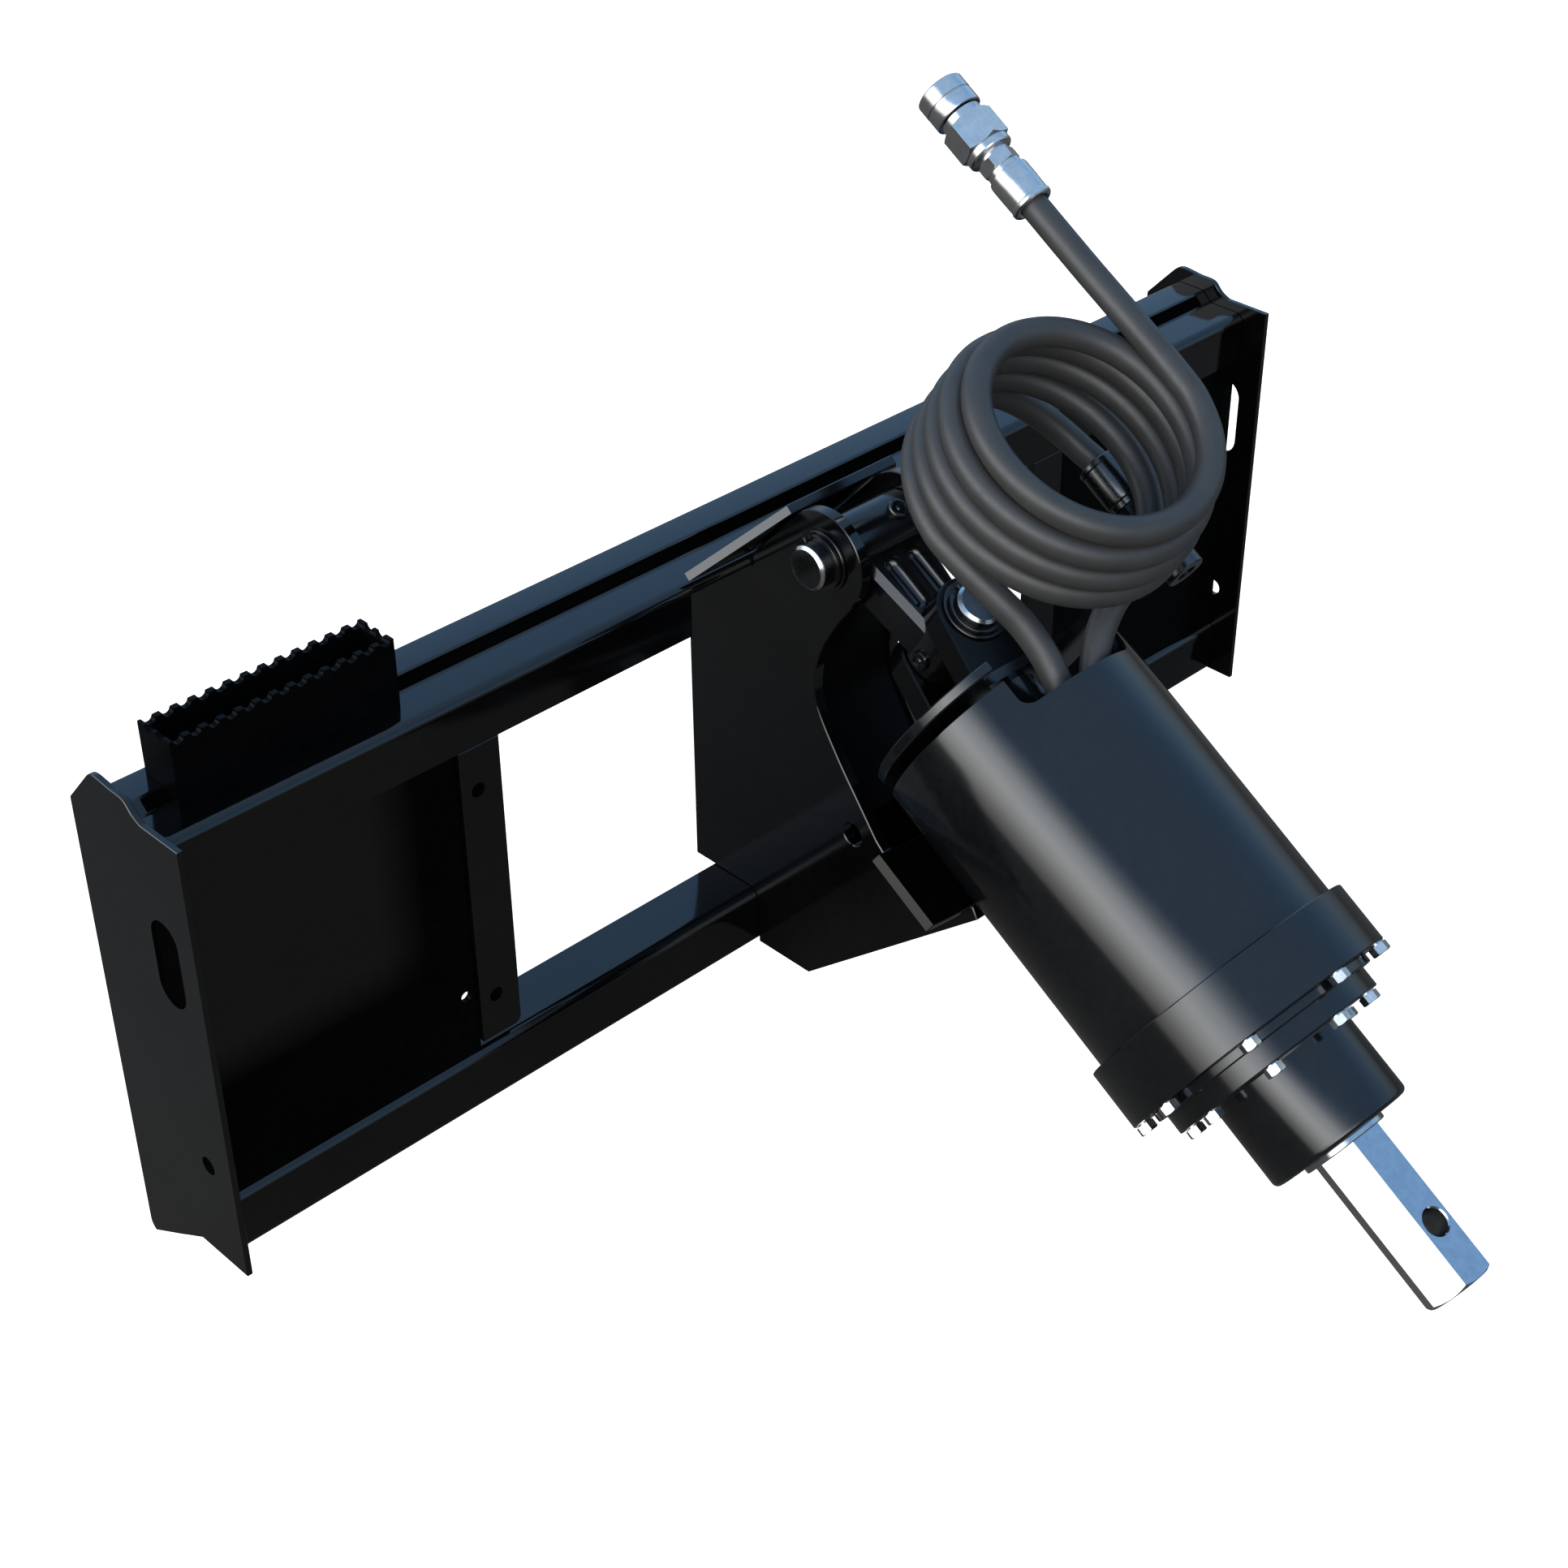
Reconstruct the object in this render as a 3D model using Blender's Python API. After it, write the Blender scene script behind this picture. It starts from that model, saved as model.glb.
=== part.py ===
# Earth auger drive: loader frame, swing hitch, knuckle, hydraulic planetary drive and hoses.
# Metres, +Z up. The origin is the centre of the hook under the top beam's crest,
# where the carrying machine's quick-attach plate bears.
import bpy
import bmesh
import math
from mathutils import Vector, Matrix
from mathutils.geometry import tessellate_polygon

# ------------------------------------------------------------------ driving dimensions (mm)
WIDTH = 1145.0            # frame width over the side plates
PLATE = 5.0               # side plate and pressed sheet thickness
ORIGIN = (572.5, 83.5, -4.0)   # hook underside in the frame's working coordinates
HITCH = (583.0, -52.5, 19.5)   # hitch pin centre
LEAN = math.radians(57.87)     # parked angle of the drive from plumb
CHEEK_IN, CHEEK_T = 37.0, 10.0  # cheek inner face from the hitch centre plane, thickness
PIN_R, PIN_HALF = 18.0, 65.0
BORE = 0.35               # running gap round pins
EAR_T = 101.5             # ear pin station along the drive axis
HOOD_R, HOOD_WALL = 103.4, 5.0
HOOD_TOP, HOOD_END = 168.0, 418.0
FLANGE_R, FLANGE_END = 112.0, 467.0
FLANGE2_R, FLANGE2_A, FLANGE2_B = 88.0, 474.0, 490.0
NOSE_R, NOSE_END = 58.4, 561.0
HEX_AF, HEX_END, CROSS_T, CROSS_R = 50.0, 691.5, 643.5, 10.5
BOLT_N, BOLT_R1, BOLT_R2 = 8, 105.0, 78.0
GAP = 0.3                 # gap between touching pieces
# gears
MODULE, PRESSURE = 2.6, math.radians(25.0)
Z_SUN, Z_PLANET, Z_RING = 12, 24, 60
GEAR_A, GEAR_B = 430.0, 455.0
# hoses
HOSE_R = 11.0
COIL_X, COIL_T, COIL_H, COIL_R = 59.0, 68.0, 105.0, 100.0
TAIL_X, TAIL_T, TAIL_H = 160.5, 62.0, 75.0   # hose B's end under the coil's right side

# ------------------------------------------------------------------ clean start
for o in list(bpy.data.objects):
    bpy.data.objects.remove(o, do_unlink=True)
scene = bpy.context.scene


def mat(name, rgb, metallic, rough):
    m = bpy.data.materials.new(name)
    m.use_nodes = True
    b = m.node_tree.nodes["Principled BSDF"]
    b.inputs["Base Color"].default_value = (*rgb, 1.0)
    b.inputs["Metallic"].default_value = metallic
    b.inputs["Roughness"].default_value = rough
    return m


BLACK = mat("black_paint", (0.012, 0.013, 0.015), 0.0, 0.32)
CAST = mat("cast_paint", (0.014, 0.015, 0.018), 0.0, 0.42)
ZINC = mat("zinc_steel", (0.68, 0.70, 0.73), 1.0, 0.28)
STEEL = mat("ground_steel", (0.62, 0.62, 0.62), 1.0, 0.25)
GEAR = mat("gear_steel", (0.42, 0.42, 0.43), 1.0, 0.35)
RUBBER = mat("hose_rubber", (0.035, 0.035, 0.038), 0.0, 0.6)

# ------------------------------------------------------------------ coordinates


def W(x, y, z):
    """frame working coordinates in mm to the part's metres"""
    return Vector(((x - ORIGIN[0]) / 1000, (y - ORIGIN[1]) / 1000, (z - ORIGIN[2]) / 1000))


def empty(name, loc, rot, parent=None):
    e = bpy.data.objects.new(name, None)
    scene.collection.objects.link(e)
    e.parent = parent
    e.location = loc
    e.rotation_euler = rot
    return e


# Drive coordinates: x across, t down the drive axis, h forward of it. Their empties turn with the joints.
hitch_axis = empty("hitch_axis", W(*HITCH), (-LEAN, 0, 0))
side_axis = empty("side_swing_axis", (0, 0, -EAR_T / 1000), (0, 0, 0), hitch_axis)
output_axis = empty("output_axis", (0, 0, -(FLANGE_END - EAR_T) / 1000), (0, 0, 0), side_axis)


def at(base_t):
    """mapping of (x, t, h) mm to a parent empty's local metres"""
    return lambda x, t, h: Vector((x / 1000, -h / 1000, -(t - base_t) / 1000))


K0, D0, O0 = at(0.0), at(EAR_T), at(FLANGE_END)


def finish_mesh(name, verts, faces, material, parent=None, sharp=35, cutter=False):
    me = bpy.data.meshes.new(name)
    me.from_pydata([tuple(v) for v in verts], [], faces)
    bm = bmesh.new()
    bm.from_mesh(me)
    bmesh.ops.remove_doubles(bm, verts=bm.verts, dist=1e-7)
    bmesh.ops.recalc_face_normals(bm, faces=bm.faces)
    if bm.calc_volume(signed=True) < 0:
        bmesh.ops.reverse_faces(bm, faces=bm.faces)
    bm.to_mesh(me)
    bm.free()
    me.materials.append(material)
    me.shade_smooth()
    me.set_sharp_from_angle(angle=math.radians(sharp))
    o = bpy.data.objects.new(name, me)
    scene.collection.objects.link(o)
    o.parent = parent
    if cutter:
        o.hide_render = True
        o.display_type = "WIRE"
    return o


def boolean(obj, tool, op="DIFFERENCE"):
    m = obj.modifiers.new(op.lower() + "_" + tool.name, "BOOLEAN")
    m.operation = op
    m.solver = "EXACT"
    m.object = tool
    return obj


def prism_data(outer, holes, w0, w1, fmap):
    loops = [outer] + list(holes)
    flat = [Vector((u, v, 0)) for lp in loops for (u, v) in lp]
    tris = tessellate_polygon([[Vector((u, v, 0)) for (u, v) in lp] for lp in loops])
    n = len(flat)
    verts = [fmap(p.x, p.y, w0) for p in flat] + [fmap(p.x, p.y, w1) for p in flat]
    faces = [tuple(t) for t in tris] + [tuple(i + n for i in reversed(t)) for t in tris]
    base = 0
    for lp in loops:
        k = len(lp)
        for i in range(k):
            a, b = base + i, base + (i + 1) % k
            faces.append((a, b, b + n, a + n))
        base += k
    return verts, faces


def prism(name, outer, w0, w1, fmap, material, holes=(), parent=None, cutter=False, sharp=35):
    v, f = prism_data(outer, holes, w0, w1, fmap)
    return finish_mesh(name, v, f, material, parent, sharp, cutter)


def lathe(name, profile, seg, fmap, material, parent=None, cutter=False, phase=0.0, sharp=35):
    """profile: (radius, along) points. One that begins and ends at radius 0 is solid, else it is a closed ring."""
    verts, rows = [], []
    for r, a in profile:
        if r < 1e-9:
            rows.append([len(verts)] * seg)
            verts.append(fmap(0.0, 0.0, a))
        else:
            rows.append([len(verts) + i for i in range(seg)])
            for i in range(seg):
                p = phase + 2 * math.pi * i / seg
                verts.append(fmap(r * math.cos(p), r * math.sin(p), a))
    faces = []
    solid = profile[0][0] < 1e-9 and profile[-1][0] < 1e-9
    n = len(rows)
    for k in range(n - 1 if solid else n):
        A, B = rows[k], rows[(k + 1) % n]
        for i in range(seg):
            j = (i + 1) % seg
            q = []
            for v in (A[i], A[j], B[j], B[i]):
                if v not in q:
                    q.append(v)
            if len(q) > 2:
                faces.append(tuple(q))
    return finish_mesh(name, verts, faces, material, parent, sharp, cutter)


def circle(cu, cv, r, seg, phase=0.0):
    return [(cu + r * math.cos(phase + 2 * math.pi * i / seg), cv + r * math.sin(phase + 2 * math.pi * i / seg)) for i in range(seg)]


def arc(cu, cv, r, a0, a1, n):
    return [(cu + r * math.cos(math.radians(a0 + (a1 - a0) * i / n)), cv + r * math.sin(math.radians(a0 + (a1 - a0) * i / n))) for i in range(n + 1)]


def offset_line(pts, dist):
    """open polyline moved sideways by dist (to the left of its direction), mitred"""
    out = []
    for i, p in enumerate(pts):
        dirs = []
        if i > 0:
            dirs.append((p[0] - pts[i - 1][0], p[1] - pts[i - 1][1]))
        if i < len(pts) - 1:
            dirs.append((pts[i + 1][0] - p[0], pts[i + 1][1] - p[1]))
        ns = []
        for dx, dy in dirs:
            L = math.hypot(dx, dy)
            ns.append((-dy / L, dx / L))
        if len(ns) == 1:
            m, s = ns[0], 1.0
        else:
            mx, my = ns[0][0] + ns[1][0], ns[0][1] + ns[1][1]
            L = math.hypot(mx, my)
            m = (mx / L, my / L)
            s = 1.0 / max(0.35, m[0] * ns[0][0] + m[1] * ns[0][1])
        out.append((p[0] + m[0] * dist * s, p[1] + m[1] * dist * s))
    return out


def sheet_outline(pts, thick):
    """closed outline of a pressed sheet whose outer skin is pts; the thickness lies to the right"""
    return list(pts) + list(reversed(offset_line(pts, -thick)))


YZ = lambda u, v, w: W(w, u, v)          # plates that stand across the frame
BOX8 = ((0, 1, 3, 2), (4, 6, 7, 5), (0, 4, 5, 1), (2, 3, 7, 6), (0, 2, 6, 4), (1, 5, 7, 3))


def box(name, lo, hi, fmap, material=BLACK, parent=None, cutter=True):
    v = [fmap(x, y, z) for x in (lo[0], hi[0]) for y in (lo[1], hi[1]) for z in (lo[2], hi[2])]
    return finish_mesh(name, v, BOX8, material, parent, cutter=cutter)


def many_cylinders(name, centres, r, a0, a1, seg, fmap, parent=None):
    """one cutter mesh of parallel round bars"""
    verts, faces = [], []
    for cu, cv in centres:
        v, f = prism_data(circle(cu, cv, r, seg, math.pi / seg), [], a0, a1, fmap)
        k = len(verts)
        verts += v
        faces += [tuple(i + k for i in q) for q in f]
    return finish_mesh(name, verts, faces, BLACK, parent, cutter=True)


# ================================================================== FRAME
# side plates, with a stadium slot and a small hole
side = [(0, 0), (43, 0), (51.6, 4), (59.5, 11.4), (67, 12.9), (76, 13), (86, 14), (95, 14.6), (101, 13), (106, 8.6), (120, -6.5), (133.3, -20.9)]
side += [(133.3, -412.5), (131.6, -418.6), (127.4, -421.9), (92, -401), (56.8, -380.2), (0, -380)]
slot = arc(36.4, -132.8, 15.7, 180, 360, 8) + arc(36.4, -91.7, 15.7, 0, 180, 8)
small = circle(29.4, -291, 7.5, 16)
# the right plate is pierced; the left plate's outer face carries the same shapes as pressed recesses
left_plate = prism("side_plate_left", side, 0.0, PLATE, YZ, BLACK)
boolean(left_plate, prism("cut_left_slot", slot, -3.0, 3.6, YZ, BLACK, cutter=True))
boolean(left_plate, prism("cut_left_hole", small, -3.0, 3.6, YZ, BLACK, cutter=True))
prism("side_plate_right", side, WIDTH - PLATE, WIDTH, YZ, BLACK, holes=[slot, small])

# top beam: pressed sheet with front skirt, front strip, 45 degree step, crest and rear hook
X0, X1 = PLATE + GAP, WIDTH - PLATE - GAP
beam_path = [(24, -52), (24, -16)] + arc(32, -16, 8, 180, 90, 4)[1:] + [(60.7, -8), (69.7, 1), (98, 1), (122.5, -25.4)]
top_beam = prism("top_beam", sheet_outline(beam_path, PLATE), X0, X1, YZ, BLACK)
slot_cut = prism("cut_beam_step", [(61.6, -7.1), (64.07, -9.57), (71.27, -2.37), (68.8, 0.1), (64.2, 4.7), (57.0, -2.5)], 17.0, 1128.0, YZ, BLACK, cutter=True)
boolean(top_beam, slot_cut)
boolean(top_beam, box("cut_beam_front", (472, 20, -60), (694, 29.6, -15.2), W))

# bottom beam: top flange, rounded front and sloping rear flange with two lock-pin slots
low_path = [(123.0, -419.2), (57.4, -380.5), (24, -380.5)] + [(24, -338)] + arc(34, -338, 10, 180, 90, 4)[1:] + [(77, -328)]
low = prism("bottom_beam", sheet_outline(low_path, PLATE), X0, X1, YZ, BLACK)
for i, cx in enumerate((217.0, 928.0)):
    boolean(low, box("cut_lock_slot_%d" % i, (cx - 22, 78, -425), (cx + 22, 106, -370), W))

# face plates and window straps
fp = [(PLATE + GAP, -327.6), (245.0, -327.6), (245.0, -52.3), (PLATE + GAP, -52.3)]
XZ = lambda u, v, w: W(u, w, v)
prism("face_plate_left", fp, 28, 33, XZ, BLACK, holes=[circle(235.4, -271, 4.5, 14)])
prism("face_plate_right", [(WIDTH - u, v) for u, v in fp], 28, 33, XZ, BLACK, holes=[circle(WIDTH - 235.4, -271, 4.5, 14)])
strap = [(245.4, -319), (276.5, -319), (280.7, -317.2), (282.5, -313), (282.5, -52.4), (245.4, -52.4)]
for name, fl in (("window_strap_left", lambda u: u), ("window_strap_right", lambda u: WIDTH - u)):
    sp = prism(name, [(fl(u), v) for u, v in strap], 24, 32, XZ, BLACK)
    boolean(sp, many_cylinders("cut_blind_" + name, [(fl(260.3), -90), (fl(260.3), -280)], 6.0, 20, 29.5, 14, XZ))

# cheek plates of the swing hitch, notched round both beams
hy, hz = HITCH[1], HITCH[2]
dY, dZ = -math.sin(LEAN), -math.cos(LEAN)          # down the drive axis
nY, nZ = -math.cos(LEAN), math.sin(LEAN)           # forward of it


def drive_yz(t, h):
    return (hy + dY * t + nY * h, hz + dZ * t + nZ * h)


sad0, sad1 = drive_yz(196, -115.2), drive_yz(261, -115.2)
concave = [(-85.3, -7.4), (-70.3, -25.2), (-51.9, -56.3), (-43.3, -86.2), (-45.6, -112.4), (-67.4, -149.1), (-91.3, -181.7), (-110.5, -207.5)]


def smooth_line(pts, n):
    """points read from a smooth curve through pts"""
    out = []
    for i in range(len(pts) - 1):
        p0, p1, p2, p3 = pts[max(i - 1, 0)], pts[i], pts[i + 1], pts[min(i + 2, len(pts) - 1)]
        for k in range(n):
            s = k / n
            out.append(tuple(0.5 * ((2 * b) + (c - a) * s + (2 * a - 5 * b + 4 * c - d) * s * s + (3 * b - a - 3 * c + d) * s ** 3)
                             for a, b, c, d in zip(p0, p1, p2, p3)))
    out.append(pts[-1])
    return out


curve = smooth_line(concave[1:], 2)
boss = arc(hy, hz, 40, 48, 222, 14)                # from the top tangent round the front
# outline runs: back edge up, under the beam, over the boss, down the concave edge, saddle, lower front, bottom, round the lower beam
cheek_outline = [(99, -327.5), (99, -14.4), (62.2, -14.4), (61.5, -13.7), (34.0, -13.7), (30.0, -16.0), (23.6, -16.0), (23.6, -5.0)]
cheek_outline += boss + [(-82.2, -9.8)] + curve + [(-118.0, -214.6), (-127.5, -213.0), (-137.5, -203.5)]
cheek_outline += [sad0, sad1, (-217.5, -226.5), (-150.8, -283.0), (-35, -381), (23.6, -381)]
cheek_outline += [(23.6, -337.8)] + [(p[0], p[1]) for p in arc(34, -338, 10.4, 180, 90, 4)[1:]] + [(77.4, -327.5)]
XC = HITCH[0]
for name, a, b in (("hitch_cheek_left", XC - CHEEK_IN - CHEEK_T, XC - CHEEK_IN), ("hitch_cheek_right", XC + CHEEK_IN, XC + CHEEK_IN + CHEEK_T)):
    prism(name, cheek_outline, a, b, YZ, BLACK, holes=[circle(hy, hz, PIN_R + BORE, 24), circle(-84.8, -214.7, 10, 16)])

# rolled web between the cheeks, 4 mm inside their concave edge
web_front = offset_line(smooth_line(concave[1:7] + [(-98.0, -191.0)], 2), 4.0)
prism("hitch_web", sheet_outline(web_front, -6.0), XC - CHEEK_IN + GAP, XC + CHEEK_IN - GAP, YZ, BLACK)

# cradle saddle, a shallow rolled plate under the parked drive
sad_c, sad_r, sad_t = 151.0, 260.0, 8.0
half = math.degrees(math.asin(108.0 / sad_r))
band = arc(0, sad_c, sad_r, 270 - half, 270 + half, 16) + arc(0, sad_c, sad_r + sad_t, 270 + half, 270 - half, 16)
prism("cradle_saddle", band, 195, 262, lambda u, v, w: W(XC + u, *drive_yz(w, v)), BLACK)

# sloping cap plate over the cheeks
up, out = (-0.670, 0.742), (0.742, 0.670)


def on_cap(u, v, w):
    return W(u, 24.0 + up[0] * v + out[0] * w, -3.6 + up[1] * v + out[1] * w)


prism("hitch_cap_plate", [(471, 0), (695, 0), (645, 69.4), (533, 69.4)], 0, 8, on_cap, BLACK)

# open-topped grip tread
XY = lambda u, v, w: W(u, v, w)
tread = prism("step_tread", [(36, 52), (220, 52), (220, 90), (36, 90)], -7.6, 44, XY, BLACK, holes=[[(41, 57), (215, 57), (215, 85), (41, 85)]])
boolean(tread, prism("cut_tread_seat", [(59.9, -20), (96, -20), (96, 1.4), (69.2, 1.4), (59.9, -7.9)], 30, 226, YZ, BLACK, cutter=True))
pitch = 184.0 / 13
boolean(tread, many_cylinders("cut_tread_long", [(36 + pitch * (i + 0.5), 44.4) for i in range(13)], 4.3, 46, 96, 8, lambda u, v, w: W(u, w, v)))
boolean(tread, many_cylinders("cut_tread_ends", [(64.5, 44.4), (77.5, 44.4)], 4.3, 30, 226, 8, YZ))

# hitch pin with a groove and a snap ring at each end
PX = lambda a, b, w: W(XC + w, hy + a, hz + b)
lathe("hitch_pin", [(0, -65), (15.5, -65), (18, -62.5), (18, -53.4), (16, -53.4), (16, -49.9), (18, -49.9), (18, 49.9), (16, 49.9), (16, 53.4), (18, 53.4),
                    (18, 62.5), (15.5, 65), (0, 65)], 24, PX, ZINC)
for name, s in (("hitch_ring_left", -1), ("hitch_ring_right", 1)):
    lathe(name, [(16.3, s * 50.2), (22, s * 50.2), (22, s * 53.1), (16.3, s * 53.1)], 24, PX, ZINC)

# ================================================================== KNUCKLE
AX = lambda m: (lambda a, b, w: m(w, a, b))          # axis across the drive
AN = lambda m, t0: (lambda a, b, w: m(a, t0 + b, w))  # axis forward of the drive
AT = lambda m: (lambda a, b, w: m(a, w, b))          # axis along the drive
knuckle = lathe("knuckle", [(PIN_R + BORE, -36.5), (25.5, -36.5), (27, -35), (27, 35), (25.5, 36.5), (PIN_R + BORE, 36.5)], 24, AX(K0), CAST, hitch_axis)
web = prism("tool_knuckle_web", [(-33, 20), (-25, 92), (-22, 100), (22, 100), (25, 92), (33, 20)], -19, 19, lambda u, v, w: K0(u, v, w), CAST,
            parent=hitch_axis, cutter=True)
lower = lathe("tool_knuckle_lower", [(0, -19.6), (26.2, -19.6), (27.5, -18.3), (27.5, 18.3), (26.2, 19.6), (0, 19.6)], 28, AN(K0, EAR_T), CAST, hitch_axis, cutter=True)
boolean(knuckle, web, "UNION")
boolean(knuckle, lower, "UNION")
boolean(knuckle, lathe("cut_knuckle_bore", [(0, -30), (PIN_R + BORE, -30), (PIN_R + BORE, 30), (0, 30)], 24, AN(K0, EAR_T), CAST, hitch_axis, cutter=True))
boolean(knuckle, lathe("cut_knuckle_bore_up", [(0, -45), (PIN_R + BORE, -45), (PIN_R + BORE, 45), (0, 45)], 24, AX(K0), CAST, hitch_axis, cutter=True))
fl = []
for sx in (-11.5, 11.5):
    fl.append([(sx + u, v) for u, v in arc(0, 40, 7, 180, 360, 6)] + [(sx + u, v) for u, v in arc(0, 68, 7, 0, 180, 6)])
fv, ff = [], []
for sgn in (-1, 1):
    for lp in fl:
        v, f = prism_data(lp, [], sgn * 8, sgn * 26, lambda u, v, w: K0(u, v, w))
        k = len(fv)
        fv += v
        ff += [tuple(i + k for i in q) for q in f]
boolean(knuckle, finish_mesh("cut_knuckle_flutes", fv, ff, CAST, hitch_axis, cutter=True))

# ================================================================== DRIVE
S = side_axis
ear = arc(0, EAR_T, 30, 195, 345, 12) + [(41, 149.2), (-41, 149.2)]
for name, a, b in (("ear_front", 20.0, 44.0), ("ear_rear", -44.0, -20.0)):
    prism(name, ear, a, b, lambda u, v, w: D0(u, v, w), CAST, holes=[circle(0, EAR_T, PIN_R + BORE, 24)], parent=S)
lathe("ear_pin", [(0, -56), (15.5, -56), (18, -53.5), (18, -50), (16, -50), (16, -46.5), (18, -46.5), (18, 46.5), (16, 46.5), (16, 50), (18, 50), (18, 53.5),
                  (15.5, 56), (0, 56)], 24, AN(D0, EAR_T), ZINC, S)
for name, s in (("ear_ring_front", 1), ("ear_ring_rear", -1)):
    lathe(name, [(16.3, s * 46.8), (22, s * 46.8), (22, s * 49.7), (16.3, s * 49.7)], 24, AN(D0, EAR_T), ZINC, S)

# head plate with the motor spigot, cleared at the front for the hoses
head = lathe("head_plate", [(0, 149.5), (HOOD_R, 149.5), (HOOD_R, 157.5), (40, 157.5), (40, 214), (0, 214)], 40, AT(D0), BLACK, S)
boolean(head, prism("cut_head", [(-57, 50), (57, 50), (57, 120), (-57, 120)], 140, 165, lambda u, v, w: D0(u, w, v), BLACK, parent=S, cutter=True))

# hood, an open tube with a notch in its front edge
hood = lathe("hood", [(HOOD_R - HOOD_WALL, HOOD_TOP), (HOOD_R, HOOD_TOP), (HOOD_R, HOOD_END - GAP), (HOOD_R - HOOD_WALL, HOOD_END - GAP)], 48, AT(D0), BLACK, S)
notch = [(-56.3, 150)] + arc(-46.3, 184, 10, 180, 90, 4) + arc(46.3, 184, 10, 90, 0, 4) + [(56.3, 150)]
boolean(hood, prism("cut_hood_notch", notch, 40, 125, lambda u, v, w: D0(u, v, w), BLACK, parent=S, cutter=True))

# hydraulic motor with a blind shaft bore, and the block that its two hoses screw into
lathe("motor_body", [(0, 214.4), (38, 214.4), (38, 275), (60, 275), (60, 392), (90, 395), (90, 417.7), (9.6, 417.7), (9.6, 378), (0, 378)], 24, AT(D0), CAST, S)
block = [(-44, 39), (34, 39), (34, 58)] + arc(26, 58, 8, 0, 90, 4)[1:] + arc(-36, 58, 8, 90, 180, 4)
prism("port_block", block, 262.3, 274.6, lambda u, v, w: D0(u, w, v), ZINC, parent=S)



# gears
def gear_outline(z, r_in, r_out, play, n=2):
    """involute outline: teeth from r_in to r_out, each flank moved back by play at the pitch line"""
    rp = MODULE * z / 2
    rb = rp * math.cos(PRESSURE)
    inv = lambda r: math.tan(math.acos(min(1.0, rb / r))) - math.acos(min(1.0, rb / r))
    half_p = math.pi / (2 * z) - play / rp + inv(rp)
    pts = []
    for k in range(z):
        c = 2 * math.pi * k / z
        r0 = max(r_in, rb)
        rs = [r_in] if r_in < r0 - 1e-6 else []
        rs += [r0 + (r_out - r0) * i / (n - 1) for i in range(n)]
        for r in rs:
            a = c - (half_p - inv(max(r, rb)))
            pts.append((r * math.cos(a), r * math.sin(a)))
        for r in reversed(rs):
            a = c + (half_p - inv(max(r, rb)))
            pts.append((r * math.cos(a), r * math.sin(a)))
    return pts


def turned(pts, a, cx=0.0, cy=0.0):
    c, s = math.cos(a), math.sin(a)
    return [(cx + u * c - v * s, cy + u * s + v * c) for u, v in pts]


ADD, DED = 0.85 * MODULE, 1.2 * MODULE
housing = lathe("gear_housing", [(14, HOOD_END + 0.1), (FLANGE_R, HOOD_END + 0.1), (FLANGE_R, FLANGE_END), (14, FLANGE_END)], 48, AT(D0), BLACK, S)
rp_ring = MODULE * Z_RING / 2
boolean(housing, prism("cut_ring_teeth", turned(gear_outline(Z_RING, rp_ring - ADD, rp_ring + DED, -0.25), math.pi / Z_RING), 427.5, 470,
                       lambda u, v, w: D0(u, w, v), BLACK, parent=S, cutter=True))
ang1 = [2 * math.pi * (i + 0.0) / BOLT_N for i in range(BOLT_N)]
boolean(housing, many_cylinders("cut_bolt_holes_1", [(BOLT_R1 * math.cos(a), BOLT_R1 * math.sin(a)) for a in ang1], 4.6, 450, 475, 8, lambda u, v, w: D0(u, w, v), S))

nose = lathe("output_housing", [(95, 467.4), (95, 474), (FLANGE2_R, 474), (FLANGE2_R, 490), (NOSE_R, 490), (NOSE_R, 556), (56.5, 560.0), (52.5, NOSE_END),
                                (45, NOSE_END), (45, 551.5), (36, 551.5), (36, 505), (45, 505), (45, 479), (66, 467.4)], 40, AT(D0), BLACK, S)
boolean(nose, many_cylinders("cut_bolt_holes_2", [(BOLT_R2 * math.cos(a), BOLT_R2 * math.sin(a)) for a in ang1], 4.6, 475.5, 494, 8, lambda u, v, w: D0(u, w, v), S))
boolean(nose, prism("cut_port", circle(0, 510, 6, 12), 49.5, 70, lambda u, v, w: D0(w * math.cos(0.55) - u * math.sin(0.55), v, w * math.sin(0.55) + u * math.cos(0.55)), BLACK, parent=S, cutter=True))

lathe("shaft_bearing", [(30.35, 481), (44.6, 481), (44.6, 503), (30.35, 503)], 36, AT(D0), STEEL, S)
lathe("shaft_seal", [(30.35, 552), (44.6, 552), (44.6, 560.4), (30.35, 560.4)], 36, AT(D0), RUBBER, S)
for i, a in enumerate(ang1):
    for grp, R, h0, h1, e in (("flange_bolt", BOLT_R1, 467.4, 475.0, 452.0), ("nose_bolt", BOLT_R2, 490.4, 497.8, 477.0)):
        fm = (lambda cx, ch: (lambda p, q, w: D0(cx + p, w, ch + q)))(R * math.cos(a), R * math.sin(a))
        lathe("%s_%d" % (grp, i + 1), [(0, h1), (6.6, h1), (7.5, h1 - 0.9), (7.5, h0), (4.0, h0), (4.0, e), (0, e)], 6, fm, ZINC, S, phase=a)

# motor shaft with the sun gear
sun = prism("sun_shaft", gear_outline(Z_SUN, MODULE * Z_SUN / 2 - DED, MODULE * Z_SUN / 2 + ADD, 0.12), GEAR_A, GEAR_B, lambda u, v, w: O0(u, w, v), GEAR, parent=output_axis)
boolean(sun, lathe("tool_sun_stem", [(0, 384), (9.0, 384), (9.0, 450), (0, 450)], 16, AT(O0), GEAR, output_axis, cutter=True), "UNION")
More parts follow.
